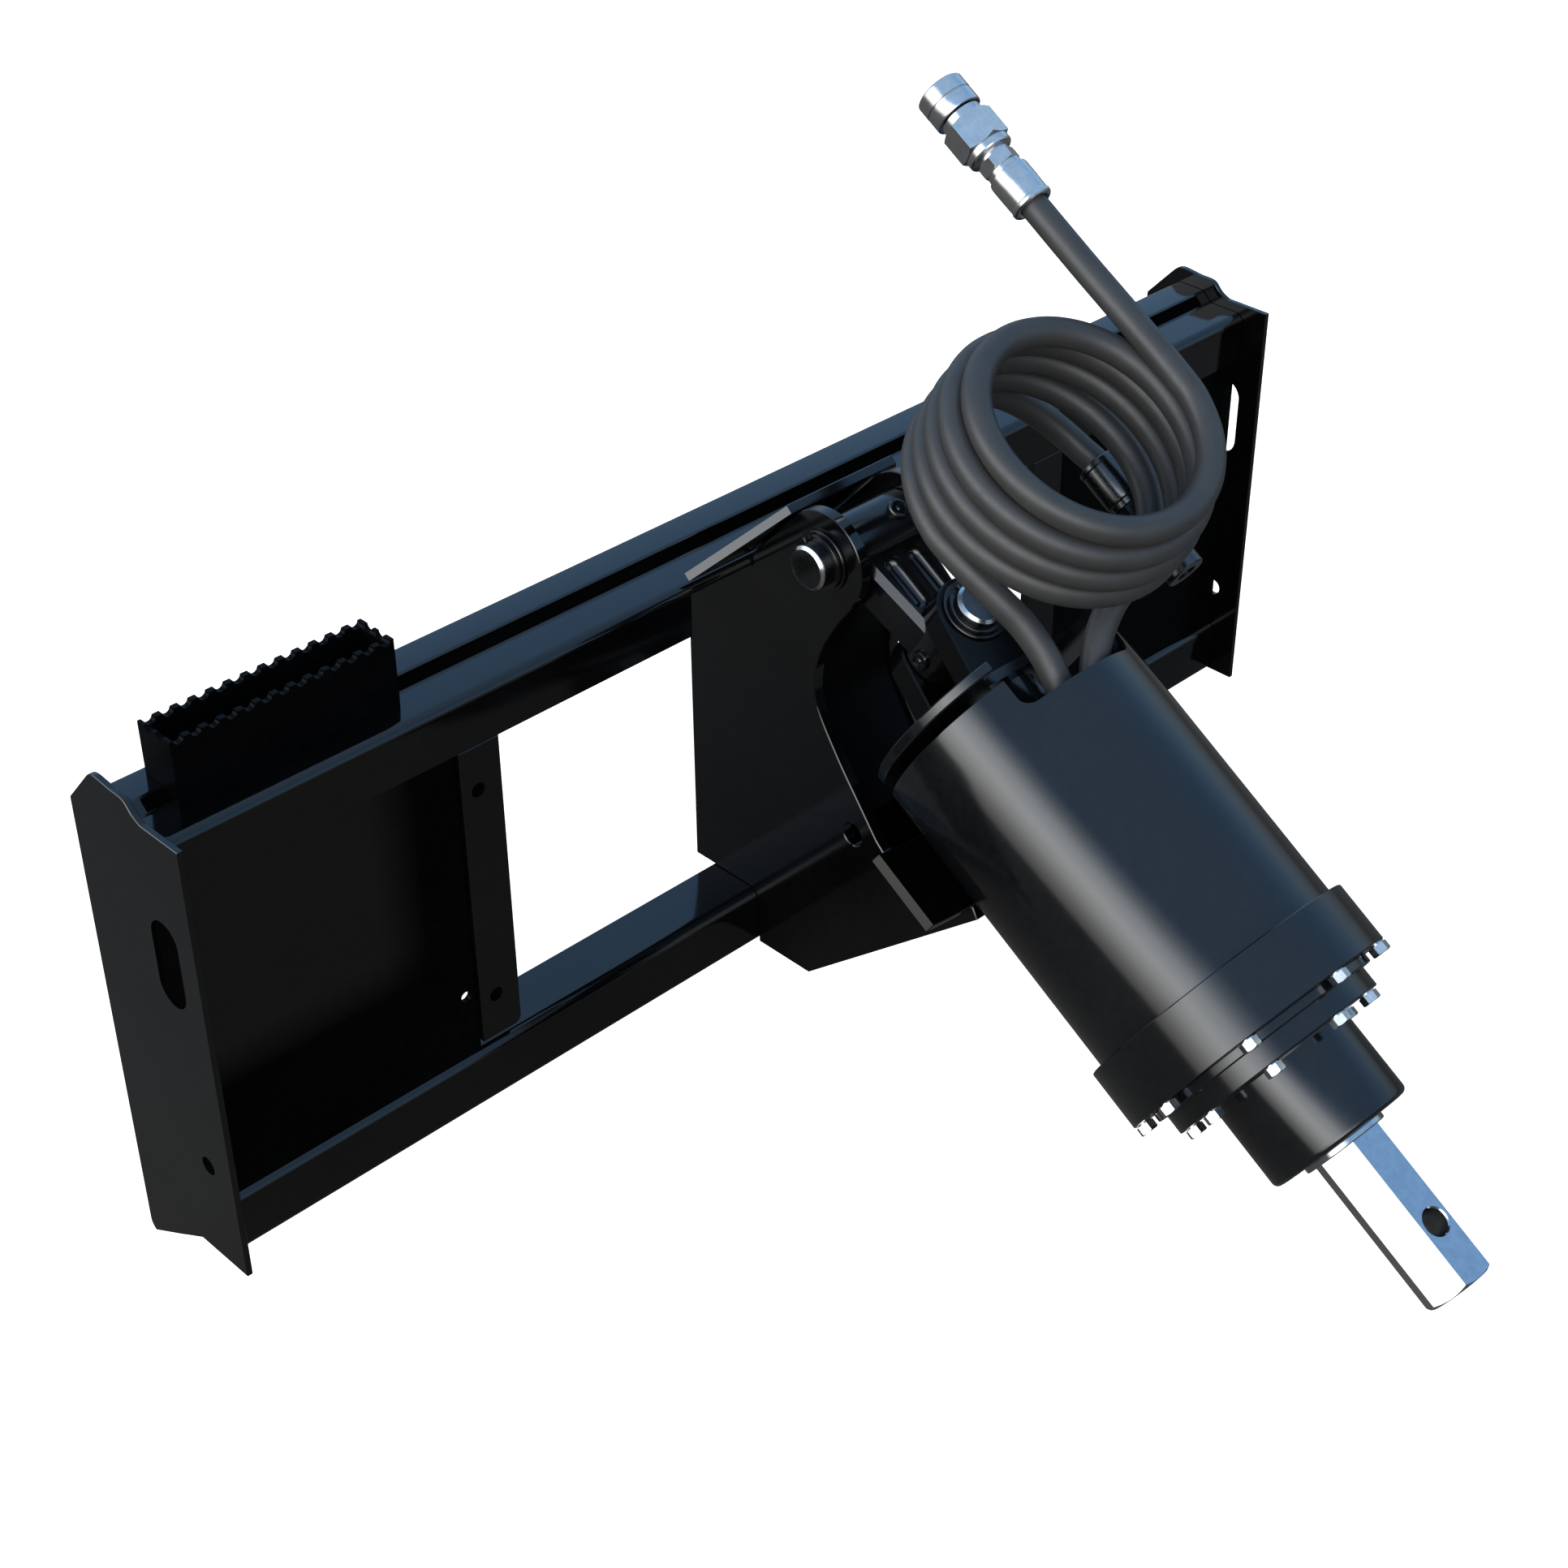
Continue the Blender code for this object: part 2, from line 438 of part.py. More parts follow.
# planets, one tooth gap towards the sun and one towards the ring
CAR_R = MODULE * (Z_SUN + Z_PLANET) / 2
planet = gear_outline(Z_PLANET, MODULE * Z_PLANET / 2 - DED, MODULE * Z_PLANET / 2 + ADD, 0.12)
for i in range(3):
    a = 2 * math.pi * i / 3
    cx, cy = CAR_R * math.cos(a), CAR_R * math.sin(a)
    prism("planet_gear_%d" % (i + 1), turned(planet, a + math.pi / Z_PLANET, cx, cy), GEAR_A, GEAR_B, lambda u, v, w: O0(u, w, v), GEAR,
          holes=[circle(cx, cy, 9.0, 16)], parent=output_axis)
# output shaft: carrier disc, planet pins, journal, collar and hexagon
out_s = lathe("output_shaft", [(0, 457), (66, 457), (66, 465), (38, 470), (30, 474), (30, 561.3), (34, 561.3), (34, 565), (33, 566), (0, 566)], 36, AT(O0), STEEL, output_axis)
pins_v, pins_f = [], []
for i in range(3):
    a = 2 * math.pi * i / 3
    v, f = prism_data(circle(CAR_R * math.cos(a), CAR_R * math.sin(a), 8.4, 16), [], 428.5, 460, lambda u, v, w: O0(u, w, v))
    k = len(pins_v)
    pins_v += v
    pins_f += [tuple(q + k for q in g) for g in f]
boolean(out_s, finish_mesh("tool_planet_pins", pins_v, pins_f, STEEL, output_axis, cutter=True), "UNION")
RC = HEX_AF / math.sqrt(3)
boolean(out_s, lathe("tool_hexagon", [(0, 560), (RC, 560), (RC, HEX_END - 3.2), (RC - 4.2, HEX_END), (0, HEX_END)], 6, AT(O0), STEEL, output_axis, cutter=True), "UNION")
boolean(out_s, prism("cut_cross_hole", circle(0, CROSS_T, CROSS_R, 24), -40, 40, lambda u, v, w: O0(u, v, w), STEEL, parent=output_axis, cutter=True))


# ================================================================== HOSES
def catmull(pts, step):
    """points a set distance apart on a smooth curve through the route's points"""
    dense = []
    for i in range(len(pts) - 1):
        p0, p1, p2, p3 = pts[max(i - 1, 0)], pts[i], pts[i + 1], pts[min(i + 2, len(pts) - 1)]
        for k in range(16):
            s = k / 16
            dense.append([0.5 * ((2 * b) + (c - a) * s + (2 * a - 5 * b + 4 * c - d) * s * s + (3 * b - a - 3 * c + d) * s ** 3) for a, b, c, d in zip(p0, p1, p2, p3)])
    dense.append(list(pts[-1]))
    run = [0.0]
    for a, b in zip(dense, dense[1:]):
        run.append(run[-1] + math.dist(a, b))
    n = max(2, round(run[-1] / step))
    out, j = [], 0
    for i in range(n + 1):
        s = run[-1] * i / n
        while j < len(run) - 2 and run[j + 1] < s:
            j += 1
        f = (s - run[j]) / max(1e-9, run[j + 1] - run[j])
        out.append([a + (b - a) * min(1.0, f) for a, b in zip(dense[j], dense[j + 1])])
    return out


def hose(name, route, step=22.0):
    cu = bpy.data.curves.new(name, "CURVE")
    cu.dimensions = "3D"
    cu.bevel_depth = HOSE_R / 1000
    cu.bevel_resolution = 2
    cu.use_fill_caps = True
    pts = catmull(route, step)
    sp = cu.splines.new("POLY")
    sp.points.add(len(pts) - 1)
    for p, q in zip(sp.points, pts):
        p.co = (*D0(*q), 1.0)
    cu.materials.append(RUBBER)
    o = bpy.data.objects.new(name, cu)
    scene.collection.objects.link(o)
    o.parent = S
    return o


BEND = 88.0
# hose A leaves its fitting, rises through the notch and bends towards the coil
route_a = [(12, 260, 52), (12, 250, 53), (12, 240, 56.5)]
for deg, h in ((15, 64.5), (30, 74.0), (41, 81.0)):
    route_a.append((12 + BEND * (1 - math.cos(math.radians(deg))), 240 - BEND * math.sin(math.radians(deg)), h))
hose("hose_a_lead", route_a, 11.0)
# hose B rises through the notch to the coil's left side
route_b = [(-15, 260, 52), (-15, 250, 53), (-15, 240, 56.5), (-14.5, 215, 67), (-14, 190, 76.5), (-16.5, 165, 85.5)]
hose("hose_b_lead", route_b, 20.0)
# the coil of both hoses, one turned body
CO = lambda a, b, w: D0(COIL_X + a, COIL_T + b, w)
lathe("hose_coil", [(88.3, 96.6), (111.6, 96.6), (111.6, 225), (71.5, 225), (71.5, 184), (88.3, 168)], 28, CO, RUBBER, S)
# hose A's free end with its quick coupler
route_f = [(148.6, -12, 204.6), (149.3, -38, 203.4), (149.8, -72, 202.7), (150, -110.5, 202.5)]
end_a = lambda a, b, w: D0(150.0 + a, -218.0 + (w + 220.0) * 0.86, 202.5 + b)
hose("hose_a_free_end", route_f, 16.0)
lathe("coupler_body", [(0, -95.4), (15.5, -95.4), (16.5, -97), (16.5, -133), (14, -136), (14, -138), (16.2, -138), (16.2, -150), (20.5, -152), (20.5, -182), (12.8, -182), (12.8, -216),
                       (8, -216), (8, -200), (0, -200)], 16, end_a, ZINC, S)
lathe("coupler_sleeve", [(13.2, -190), (18.6, -190), (19.6, -191.5), (19.6, -217.5), (18.4, -220), (13.2, -220)], 16, end_a, ZINC, S)
# hose B leaves the coil on its underside, drops a little as it rounds the coil's right side, and ends in its coupler
def under_coil(deg):
    """point of hose B's tail, by angle from the coil's far side"""
    q, u = math.radians(deg), deg / 80.0
    return (COIL_X + 102 * math.sin(q), COIL_T - 102 * math.cos(q), 104.4 - (104.4 - TAIL_H) * u * u * (3 - 2 * u))


hose("hose_b_tail", [under_coil(deg) for deg in (52, 60, 68, 75)] + [(TAIL_X - 0.2, TAIL_T - 11, TAIL_H), (TAIL_X, TAIL_T - 7, TAIL_H), (TAIL_X, TAIL_T, TAIL_H)], 6.0)
tail = lambda a, b, w: D0(TAIL_X + a, TAIL_T + 0.35 + w, TAIL_H + b)
lathe("coupler_b", [(0, 0), (15.5, 0), (16.5, 1.6), (16.5, 37.6), (14, 40.6), (14, 42.6), (16.2, 42.6), (16.2, 54.6), (20.5, 56.6), (20.5, 84), (16, 86), (16, 100), (15, 101),
                    (8, 101), (8, 88), (0, 88)], 16, tail, ZINC, S)
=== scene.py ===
# The looks of the earth auger drive: camera, light, materials, hoses and finely modelled pieces.
import bpy
import bmesh
import math
from mathutils import Vector, Matrix
from mathutils.geometry import tessellate_polygon


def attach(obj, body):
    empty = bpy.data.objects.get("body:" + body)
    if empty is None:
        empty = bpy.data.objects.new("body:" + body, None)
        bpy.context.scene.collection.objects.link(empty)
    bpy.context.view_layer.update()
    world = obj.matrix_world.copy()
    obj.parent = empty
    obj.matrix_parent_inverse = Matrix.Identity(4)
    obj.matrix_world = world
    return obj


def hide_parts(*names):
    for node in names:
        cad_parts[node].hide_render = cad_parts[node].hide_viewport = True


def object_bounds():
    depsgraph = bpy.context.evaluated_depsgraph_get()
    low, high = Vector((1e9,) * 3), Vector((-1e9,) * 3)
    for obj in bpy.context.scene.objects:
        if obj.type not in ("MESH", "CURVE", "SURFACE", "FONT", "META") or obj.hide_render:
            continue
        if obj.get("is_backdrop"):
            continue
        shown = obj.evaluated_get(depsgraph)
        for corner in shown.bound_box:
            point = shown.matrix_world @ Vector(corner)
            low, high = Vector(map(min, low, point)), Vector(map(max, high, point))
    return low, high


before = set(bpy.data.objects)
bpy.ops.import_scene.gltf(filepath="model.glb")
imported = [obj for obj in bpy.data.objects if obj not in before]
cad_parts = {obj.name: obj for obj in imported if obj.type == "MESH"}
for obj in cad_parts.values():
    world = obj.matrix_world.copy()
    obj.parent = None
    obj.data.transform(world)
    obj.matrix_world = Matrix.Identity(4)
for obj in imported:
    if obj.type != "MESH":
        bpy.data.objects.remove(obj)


def plain(v):
    return [plain(x) for x in v] if hasattr(v, "__len__") else float(v)


CAD_BOX = plain(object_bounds())
scene = bpy.context.scene
scene.view_settings.view_transform = "Standard"

# ------------------------------------------------------------------ dimensions (mm)
WIDTH, PLATE = 1145.0, 5.0
ORIGIN = (572.5, 83.5, -4.0)
HITCH = (583.0, -52.5, 19.5)
LEAN = math.radians(57.87)
CHEEK_IN, CHEEK_T = 37.0, 10.0
PIN_R, BORE = 18.0, 0.35
EAR_T = 101.5
HOOD_R, HOOD_WALL, HOOD_TOP, HOOD_END = 103.4, 5.0, 168.0, 418.0
FLANGE_R, FLANGE_END = 112.0, 467.0
NOSE_R, NOSE_END = 58.4, 561.0
HEX_AF, HEX_END, CROSS_T, CROSS_R = 50.0, 691.5, 643.5, 10.5
BOLT_N, BOLT_R1, BOLT_R2 = 8, 105.0, 78.0
GAP = 0.3
HOSE_R = 11.0
COIL_X, COIL_T, COIL_H, COIL_R = 59.0, 68.0, 105.0, 100.0
TAIL_X, TAIL_T, TAIL_H = 160.5, 62.0, 75.0
dY, dZ = -math.sin(LEAN), -math.cos(LEAN)
nY, nZ = -math.cos(LEAN), math.sin(LEAN)
hy, hz = HITCH[1], HITCH[2]
XC = HITCH[0]


def W(x, y, z):
    return Vector(((x - ORIGIN[0]) / 1000, (y - ORIGIN[1]) / 1000, (z - ORIGIN[2]) / 1000))


def drive_yz(t, h):
    return (hy + dY * t + nY * h, hz + dZ * t + nZ * h)


def D(x, t, h):
    y, z = drive_yz(t, h)
    return W(XC + x, y, z)


# ------------------------------------------------------------------ camera
cam = bpy.data.cameras.new("camera")
cam.sensor_width = 36.0
cam.sensor_fit = "HORIZONTAL"
cam.lens = 62.51
cam.clip_start = 0.05
cam_o = bpy.data.objects.new("camera", cam)
scene.collection.objects.link(cam_o)
cam_o.matrix_world = Matrix(((0.71664, 0.40294, -0.56927, -1.27292), (-0.69740, 0.40499, -0.59128, -1.37608), (-0.00771, 0.82075, 0.57125, 1.04059), (0, 0, 0, 1)))
scene.camera = cam_o


# ------------------------------------------------------------------ materials
def nodes_of(m):
    m.use_nodes = True
    nt = m.node_tree
    b = nt.nodes["Principled BSDF"]
    return nt, nt.nodes, nt.links, b


def noise(nt, coord, scale, detail=3.0, rough=0.5, stretch=None):
    t = nt.nodes.new("ShaderNodeTexNoise")
    t.inputs["Scale"].default_value = scale
    t.inputs["Detail"].default_value = detail
    t.inputs["Roughness"].default_value = rough
    src = coord
    if stretch:
        mp = nt.nodes.new("ShaderNodeMapping")
        mp.inputs["Rotation"].default_value = stretch[0]
        mp.inputs["Scale"].default_value = stretch[1]
        nt.links.new(coord, mp.inputs["Vector"])
        src = mp.outputs["Vector"]
    nt.links.new(src, t.inputs["Vector"])
    return t.outputs["Fac"]


def ramp(nt, fac, stops):
    r = nt.nodes.new("ShaderNodeValToRGB")
    cr = r.color_ramp
    while len(cr.elements) > 2:
        cr.elements.remove(cr.elements[-1])
    cr.elements[0].position, cr.elements[0].color = stops[0][0], (*stops[0][1], 1)
    cr.elements[1].position, cr.elements[1].color = stops[-1][0], (*stops[-1][1], 1)
    for p, c in stops[1:-1]:
        e = cr.elements.new(p)
        e.color = (*c, 1)
    nt.links.new(fac, r.inputs["Fac"])
    return r.outputs["Color"]


def remap(nt, fac, a, b, lo, hi):
    r = nt.nodes.new("ShaderNodeMapRange")
    r.inputs["From Min"].default_value = a
    r.inputs["From Max"].default_value = b
    r.inputs["To Min"].default_value = lo
    r.inputs["To Max"].default_value = hi
    nt.links.new(fac, r.inputs["Value"])
    return r.outputs["Result"]


def bump(nt, height, strength, dist, b):
    n = nt.nodes.new("ShaderNodeBump")
    n.inputs["Strength"].default_value = strength
    n.inputs["Distance"].default_value = dist
    nt.links.new(height, n.inputs["Height"])
    nt.links.new(n.outputs["Normal"], b.inputs["Normal"])


def paint(name, base, rough, gloss=0.5, peel=0.06, painted_shade_fade=None):
    """sprayed black paint: faint orange peel, slow change of gloss, a little dust; the last argument lists (axis, dull
    at, glossy at) in metres and is painted shade, the gloss cut down where shade falls
    """
    m = bpy.data.materials.new(name)
    nt, nd, ln, b = nodes_of(m)
    pos = nd.new("ShaderNodeTexCoord").outputs["Object"]
    slow = noise(nt, pos, 9.0, 4.0)
    dust = noise(nt, pos, 130.0, 5.0, 0.65)
    mix = nd.new("ShaderNodeMath")
    mix.operation = "MULTIPLY"
    ln.new(slow, mix.inputs[0])
    ln.new(dust, mix.inputs[1])
    hi = tuple(min(1.0, c * 2.0 + 0.0005) for c in base)
    ln.new(ramp(nt, mix.outputs[0], [(0.14, base), (0.45, hi)]), b.inputs["Base Color"])
    ln.new(remap(nt, slow, 0.3, 0.7, rough * 0.82, rough * 1.22), b.inputs["Roughness"])
    bump(nt, noise(nt, pos, 420.0, 2.0), peel, 0.00006, b)
    b.inputs["Specular IOR Level"].default_value = gloss
    # painted shade: the gloss is cut down along the listed axes where shade falls
    if painted_shade_fade:
        sp = nd.new("ShaderNodeSeparateXYZ")
        ln.new(pos, sp.inputs[0])
        level = None
        for axis, dull, shiny in painted_shade_fade:
            f = remap(nt, sp.outputs[axis], dull, shiny, 0.0, 1.0)
            if level is None:
                level = f
            else:
                mul = nd.new("ShaderNodeMath")
                mul.operation = "MULTIPLY"
                ln.new(level, mul.inputs[0])
                ln.new(f, mul.inputs[1])
                level = mul.outputs[0]
        ln.new(remap(nt, level, 0.0, 1.0, 0.02, gloss), b.inputs["Specular IOR Level"])
    return m


FRAME_PAINT = paint("frame_paint_satin_black", (0.0007, 0.0007, 0.0008), 0.10)
DRIVE_PAINT = paint("drive_paint_gloss_black", (0.0024, 0.0025, 0.0028), 0.13, peel=0.05)
CAST_PAINT = paint("cast_paint_black", (0.0012, 0.0012, 0.0014), 0.17, peel=0.2)
# also painted shade: the right face plate takes this dull black for the shade that the cheek, drive and hoses cast on
# it
DULL_AND_SHADE_PAINT = paint("frame_paint_dull_black_and_shade", (0.0006, 0.0006, 0.0007), 0.3, gloss=0.04)
# painted shade: the left face plate's gloss is cut down towards its foot and towards the window, where shade falls in
# its recess
EAR_PAINT = paint("ear_paint_black", (0.0008, 0.0008, 0.0009), 0.2, gloss=0.16)
LEFT_SHADE_PAINT = paint("frame_paint_painted_shade_fade", (0.0006, 0.0006, 0.0007), 0.12, painted_shade_fade=[("X", -0.3675, -0.4075), ("Z", -0.228, -0.190)])


def metal(name, base, rough, streak=None, bumpy=0.05, scale=160.0):
    m = bpy.data.materials.new(name)
    nt, nd, ln, b = nodes_of(m)
    pos = nd.new("ShaderNodeTexCoord").outputs["Object"]
    cloud = noise(nt, pos, scale, 4.0)
    dark = tuple(c * 0.86 for c in base)
    ln.new(ramp(nt, cloud, [(0.3, dark), (0.7, base)]), b.inputs["Base Color"])
    b.inputs["Metallic"].default_value = 1.0
    fine = noise(nt, pos, 60.0, 5.0, 0.6, streak) if streak else noise(nt, pos, 700.0, 3.0)
    ln.new(remap(nt, fine, 0.25, 0.75, rough * 0.75, rough * 1.3), b.inputs["Roughness"])
    bump(nt, fine, bumpy, 0.00004, b)
    return m


ALONG = (math.pi / 2 - LEAN, 0, 0)
ZINC = metal("bright_zinc_plate", (0.60, 0.60, 0.60), 0.2)
STEEL = metal("ground_steel", (0.50, 0.51, 0.53), 0.14, (ALONG, (40.0, 40.0, 1.2)), 0.10)
GEAR = metal("gear_steel", (0.42, 0.42, 0.43), 0.3)
OXIDE = metal("black_oxide_steel", (0.085, 0.086, 0.088), 0.24)


def rubber(name, base, rough, wrap=True):
    """hose cover: matte rubber with the faint wrap marks of its curing cloth"""
    m = bpy.data.materials.new(name)
    nt, nd, ln, b = nodes_of(m)
    pos = nd.new("ShaderNodeTexCoord").outputs["Object"]
    a = noise(nt, pos, 45.0, 4.0)
    dark = tuple(c * 0.82 for c in base)
    ln.new(ramp(nt, a, [(0.3, dark), (0.72, base)]), b.inputs["Base Color"])
    ln.new(remap(nt, noise(nt, pos, 240.0, 3.0), 0.25, 0.75, rough * 0.88, rough * 1.12), b.inputs["Roughness"])
    bump(nt, noise(nt, pos, 900.0, 2.0), 0.12, 0.00008, b)
    b.inputs["Specular IOR Level"].default_value = 0.42
    return m


RUBBER = rubber("hose_cover_rubber", (0.029, 0.0275, 0.0262), 0.46)
SEAL = rubber("seal_rubber", (0.010, 0.010, 0.011), 0.4)
# painted shade: a matte black sheet for the floors of recesses, the step groove and blind holes, standing in for the
# dark inside of the real openings
SHADE = rubber("painted_shade_black", (0.0012, 0.0012, 0.0012), 1.0)
SHADE.node_tree.nodes["Principled BSDF"].inputs["Specular IOR Level"].default_value = 0.0

# ------------------------------------------------------------------ mesh helpers


def mesh_obj(name, verts, faces, material, sharp=22):
    me = bpy.data.meshes.new(name)
    me.from_pydata([tuple(v) for v in verts], [], faces)
    bm = bmesh.new()
    bm.from_mesh(me)
    bmesh.ops.remove_doubles(bm, verts=bm.verts, dist=1e-7)
    bmesh.ops.recalc_face_normals(bm, faces=bm.faces)
    if bm.calc_volume(signed=True) < 0:
        bmesh.ops.reverse_faces(bm, faces=bm.faces)
    bm.to_mesh(me)
    bm.free()
    me.materials.append(material)
    me.shade_smooth()
    me.set_sharp_from_angle(angle=math.radians(sharp))
    o = bpy.data.objects.new(name, me)
    scene.collection.objects.link(o)
    return o


def offset_loop(pts, dist):
    """closed loop moved to the left of its direction"""
    out, n = [], len(pts)
    for i in range(n):
        p, a, b = pts[i], pts[i - 1], pts[(i + 1) % n]
        d0, d1 = (p[0] - a[0], p[1] - a[1]), (b[0] - p[0], b[1] - p[1])
        L0, L1 = math.hypot(*d0) or 1e-9, math.hypot(*d1) or 1e-9
        n0, n1 = (-d0[1] / L0, d0[0] / L0), (-d1[1] / L1, d1[0] / L1)
        mx, my = n0[0] + n1[0], n0[1] + n1[1]
        L = math.hypot(mx, my) or 1e-9
        m = (mx / L, my / L)
        s = 1.0 / max(0.4, m[0] * n0[0] + m[1] * n0[1])
        out.append((p[0] + m[0] * dist * s, p[1] + m[1] * dist * s))
    return out


def area(lp):
    return 0.5 * sum(lp[i - 1][0] * lp[i][1] - lp[i][0] * lp[i - 1][1] for i in range(len(lp)))


def tidy(lp, tol=0.02):
    out = []
    for p in lp:
        if not out or math.hypot(p[0] - out[-1][0], p[1] - out[-1][1]) > tol:
            out.append(p)
    if math.hypot(out[0][0] - out[-1][0], out[0][1] - out[-1][1]) < tol:
        out.pop()
    return out


def prism(name, outer, w0, w1, fmap, material, holes=(), c=0.6, sharp=22):
    """extruded outline with holes and a small chamfer round every edge of its two faces"""
    outer = tidy(list(outer))
    if area(outer) < 0:
        outer.reverse()
    loops = [outer]
    for h in holes:
        h = tidy(list(h))
        if area(h) > 0:
            h.reverse()
        loops.append(h)
    ins = [offset_loop(lp, c) for lp in loops] if c > 0 else loops
    if w1 < w0:
        w0, w1 = w1, w0
    verts, faces, base = [], [], 0
    levels = [(w0, ins), (w0 + c, loops), (w1 - c, loops), (w1, ins)] if c > 0 else [(w0, loops), (w1, loops)]
    per = sum(len(lp) for lp in loops)
    for w, ls in levels:
        for lp in ls:
            verts += [fmap(u, v, w) for u, v in lp]
    tris = tessellate_polygon([[Vector((u, v, 0)) for u, v in lp] for lp in ins])
    top = per * (len(levels) - 1)
    faces += [tuple(t) for t in tris] + [tuple(i + top for i in reversed(t)) for t in tris]
    for k in range(len(levels) - 1):
        base = 0
        for lp in loops:
            m = len(lp)
            for i in range(m):
                a, b = k * per + base + i, k * per + base + (i + 1) % m
                faces.append((a, b, b + per, a + per))
            base += m
    return mesh_obj(name, verts, faces, material, sharp)


def lathe(name, profile, seg, fmap, material, phase=0.0, sharp=22):
    verts, rows = [], []
    for r, a in profile:
        if r < 1e-9:
            rows.append([len(verts)] * seg)
            verts.append(fmap(0.0, 0.0, a))
        else:
            rows.append([len(verts) + i for i in range(seg)])
            for i in range(seg):
                p = phase + 2 * math.pi * i / seg
                verts.append(fmap(r * math.cos(p), r * math.sin(p), a))
    faces = []
    solid = profile[0][0] < 1e-9 and profile[-1][0] < 1e-9
    n = len(rows)
    for k in range(n - 1 if solid else n):
        A, B = rows[k], rows[(k + 1) % n]
        for i in range(seg):
            j = (i + 1) % seg
            q = []
            for v in (A[i], A[j], B[j], B[i]):
                if v not in q:
                    q.append(v)
            if len(q) > 2:
                faces.append(tuple(q))
    return mesh_obj(name, verts, faces, material, sharp)


def box(name, lo, hi, fmap, material=FRAME_PAINT):
    return prism(name, [(lo[0], lo[1]), (hi[0], lo[1]), (hi[0], hi[1]), (lo[0], hi[1])], lo[2], hi[2], fmap, material, c=0)


def boolean(obj, *tools, op="DIFFERENCE"):
    for t in tools:
        m = obj.modifiers.new(op.lower() + "_" + t.name, "BOOLEAN")
        m.operation = op
        m.solver = "EXACT"
        m.object = t
    return obj


def bake(obj, tools=(), sharp=22, bevel=0.0, segments=2, angle=30):
    """applies the booleans, then an optional bevel, and clears the tools away"""
    if bevel > 0:
        m = obj.modifiers.new("bevel", "BEVEL")
        m.width = bevel / 1000
        m.segments = segments
        m.limit_method = "ANGLE"
        m.angle_limit = math.radians(angle)
        m.use_clamp_overlap = True
        m.loop_slide = False
        m.miter_outer = "MITER_ARC"
    bpy.context.view_layer.update()
    dg = bpy.context.evaluated_depsgraph_get()
    me = bpy.data.meshes.new_from_object(obj.evaluated_get(dg), depsgraph=dg)
    obj.modifiers.clear()
    mats = [s.material for s in obj.material_slots]
    obj.data = me
    me.materials.clear()
    me.materials.append(mats[0])
    for p in me.polygons:
        p.material_index = 0
    me.shade_smooth()
    me.set_sharp_from_angle(angle=math.radians(sharp))
    if bevel > 0:
        obj.modifiers.new("weighted", "WEIGHTED_NORMAL").keep_sharp = True
    for t in tools:
        bpy.data.objects.remove(t, do_unlink=True)
    return obj


def join(name, objs, material=None):
    """several separate solids of one piece, kept in one object"""
    bm = bmesh.new()
    mats = []
    for o in objs:
        me = o.data
        k = []
        for m in me.materials:
            if m not in mats:
                mats.append(m)
            k.append(mats.index(m))
        start = len(bm.faces)
        bm.from_mesh(me)
        bm.faces.ensure_lookup_table()
        for f in bm.faces[start:]:
            f.material_index = k[f.material_index] if k else 0
    me = bpy.data.meshes.new(name)
    bm.to_mesh(me)
    bm.free()
    for m in mats:
        me.materials.append(m)
    sharp = 22
    me.shade_smooth()
    me.set_sharp_from_angle(angle=math.radians(sharp))
    for o in objs:
        bpy.data.objects.remove(o, do_unlink=True)
    o = bpy.data.objects.new(name, me)
    scene.collection.objects.link(o)
    return o


def circle(cu, cv, r, seg, phase=0.0):
    return [(cu + r * math.cos(phase + 2 * math.pi * i / seg), cv + r * math.sin(phase + 2 * math.pi * i / seg)) for i in range(seg)]


def arc(cu, cv, r, a0, a1, n):
    return [(cu + r * math.cos(math.radians(a0 + (a1 - a0) * i / n)), cv + r * math.sin(math.radians(a0 + (a1 - a0) * i / n))) for i in range(n + 1)]


def offset_line(pts, dist):
    out = []
    for i, p in enumerate(pts):
        dirs = []
        if i > 0:
            dirs.append((p[0] - pts[i - 1][0], p[1] - pts[i - 1][1]))
        if i < len(pts) - 1:
            dirs.append((pts[i + 1][0] - p[0], pts[i + 1][1] - p[1]))
        ns = []
        for dx, dy in dirs:
            L = math.hypot(dx, dy)
            ns.append((-dy / L, dx / L))
        if len(ns) == 1:
            m, s = ns[0], 1.0
        else:
            mx, my = ns[0][0] + ns[1][0], ns[0][1] + ns[1][1]
            L = math.hypot(mx, my)
            m = (mx / L, my / L)
            s = 1.0 / max(0.35, m[0] * ns[0][0] + m[1] * ns[0][1])
        out.append((p[0] + m[0] * dist * s, p[1] + m[1] * dist * s))
    return out


def sheet_outline(pts, thick):
    return list(pts) + list(reversed(offset_line(pts, -thick)))


def fillet(pts, radii, n=6):
    """open polyline with its corners rounded; radii is one number or one for each inner point"""
    out = [pts[0]]
    for i in range(1, len(pts) - 1):
        r = radii[i - 1] if hasattr(radii, "__len__") else radii
        p, a, b = Vector(pts[i]), Vector(pts[i - 1]), Vector(pts[i + 1])
        u, v = (a - p).normalized(), (b - p).normalized()
        ang = math.acos(max(-1, min(1, u.dot(v))))
        if r <= 0 or ang > math.pi - 0.02:
            out.append(tuple(p))
            continue
        t = min(r / math.tan(ang / 2), 0.49 * (a - p).length, 0.49 * (b - p).length)
        rr = t * math.tan(ang / 2)
        c = p + (u + v).normalized() * (rr / math.sin(ang / 2))
        s, e = p + u * t - c, p + v * t - c
        a0, a1 = math.atan2(s.y, s.x), math.atan2(e.y, e.x)
        da = (a1 - a0 + math.pi) % (2 * math.pi) - math.pi
        for k in range(n + 1):
            q = a0 + da * k / n
            out.append((c.x + rr * math.cos(q), c.y + rr * math.sin(q)))
    out.append(pts[-1])
    return out


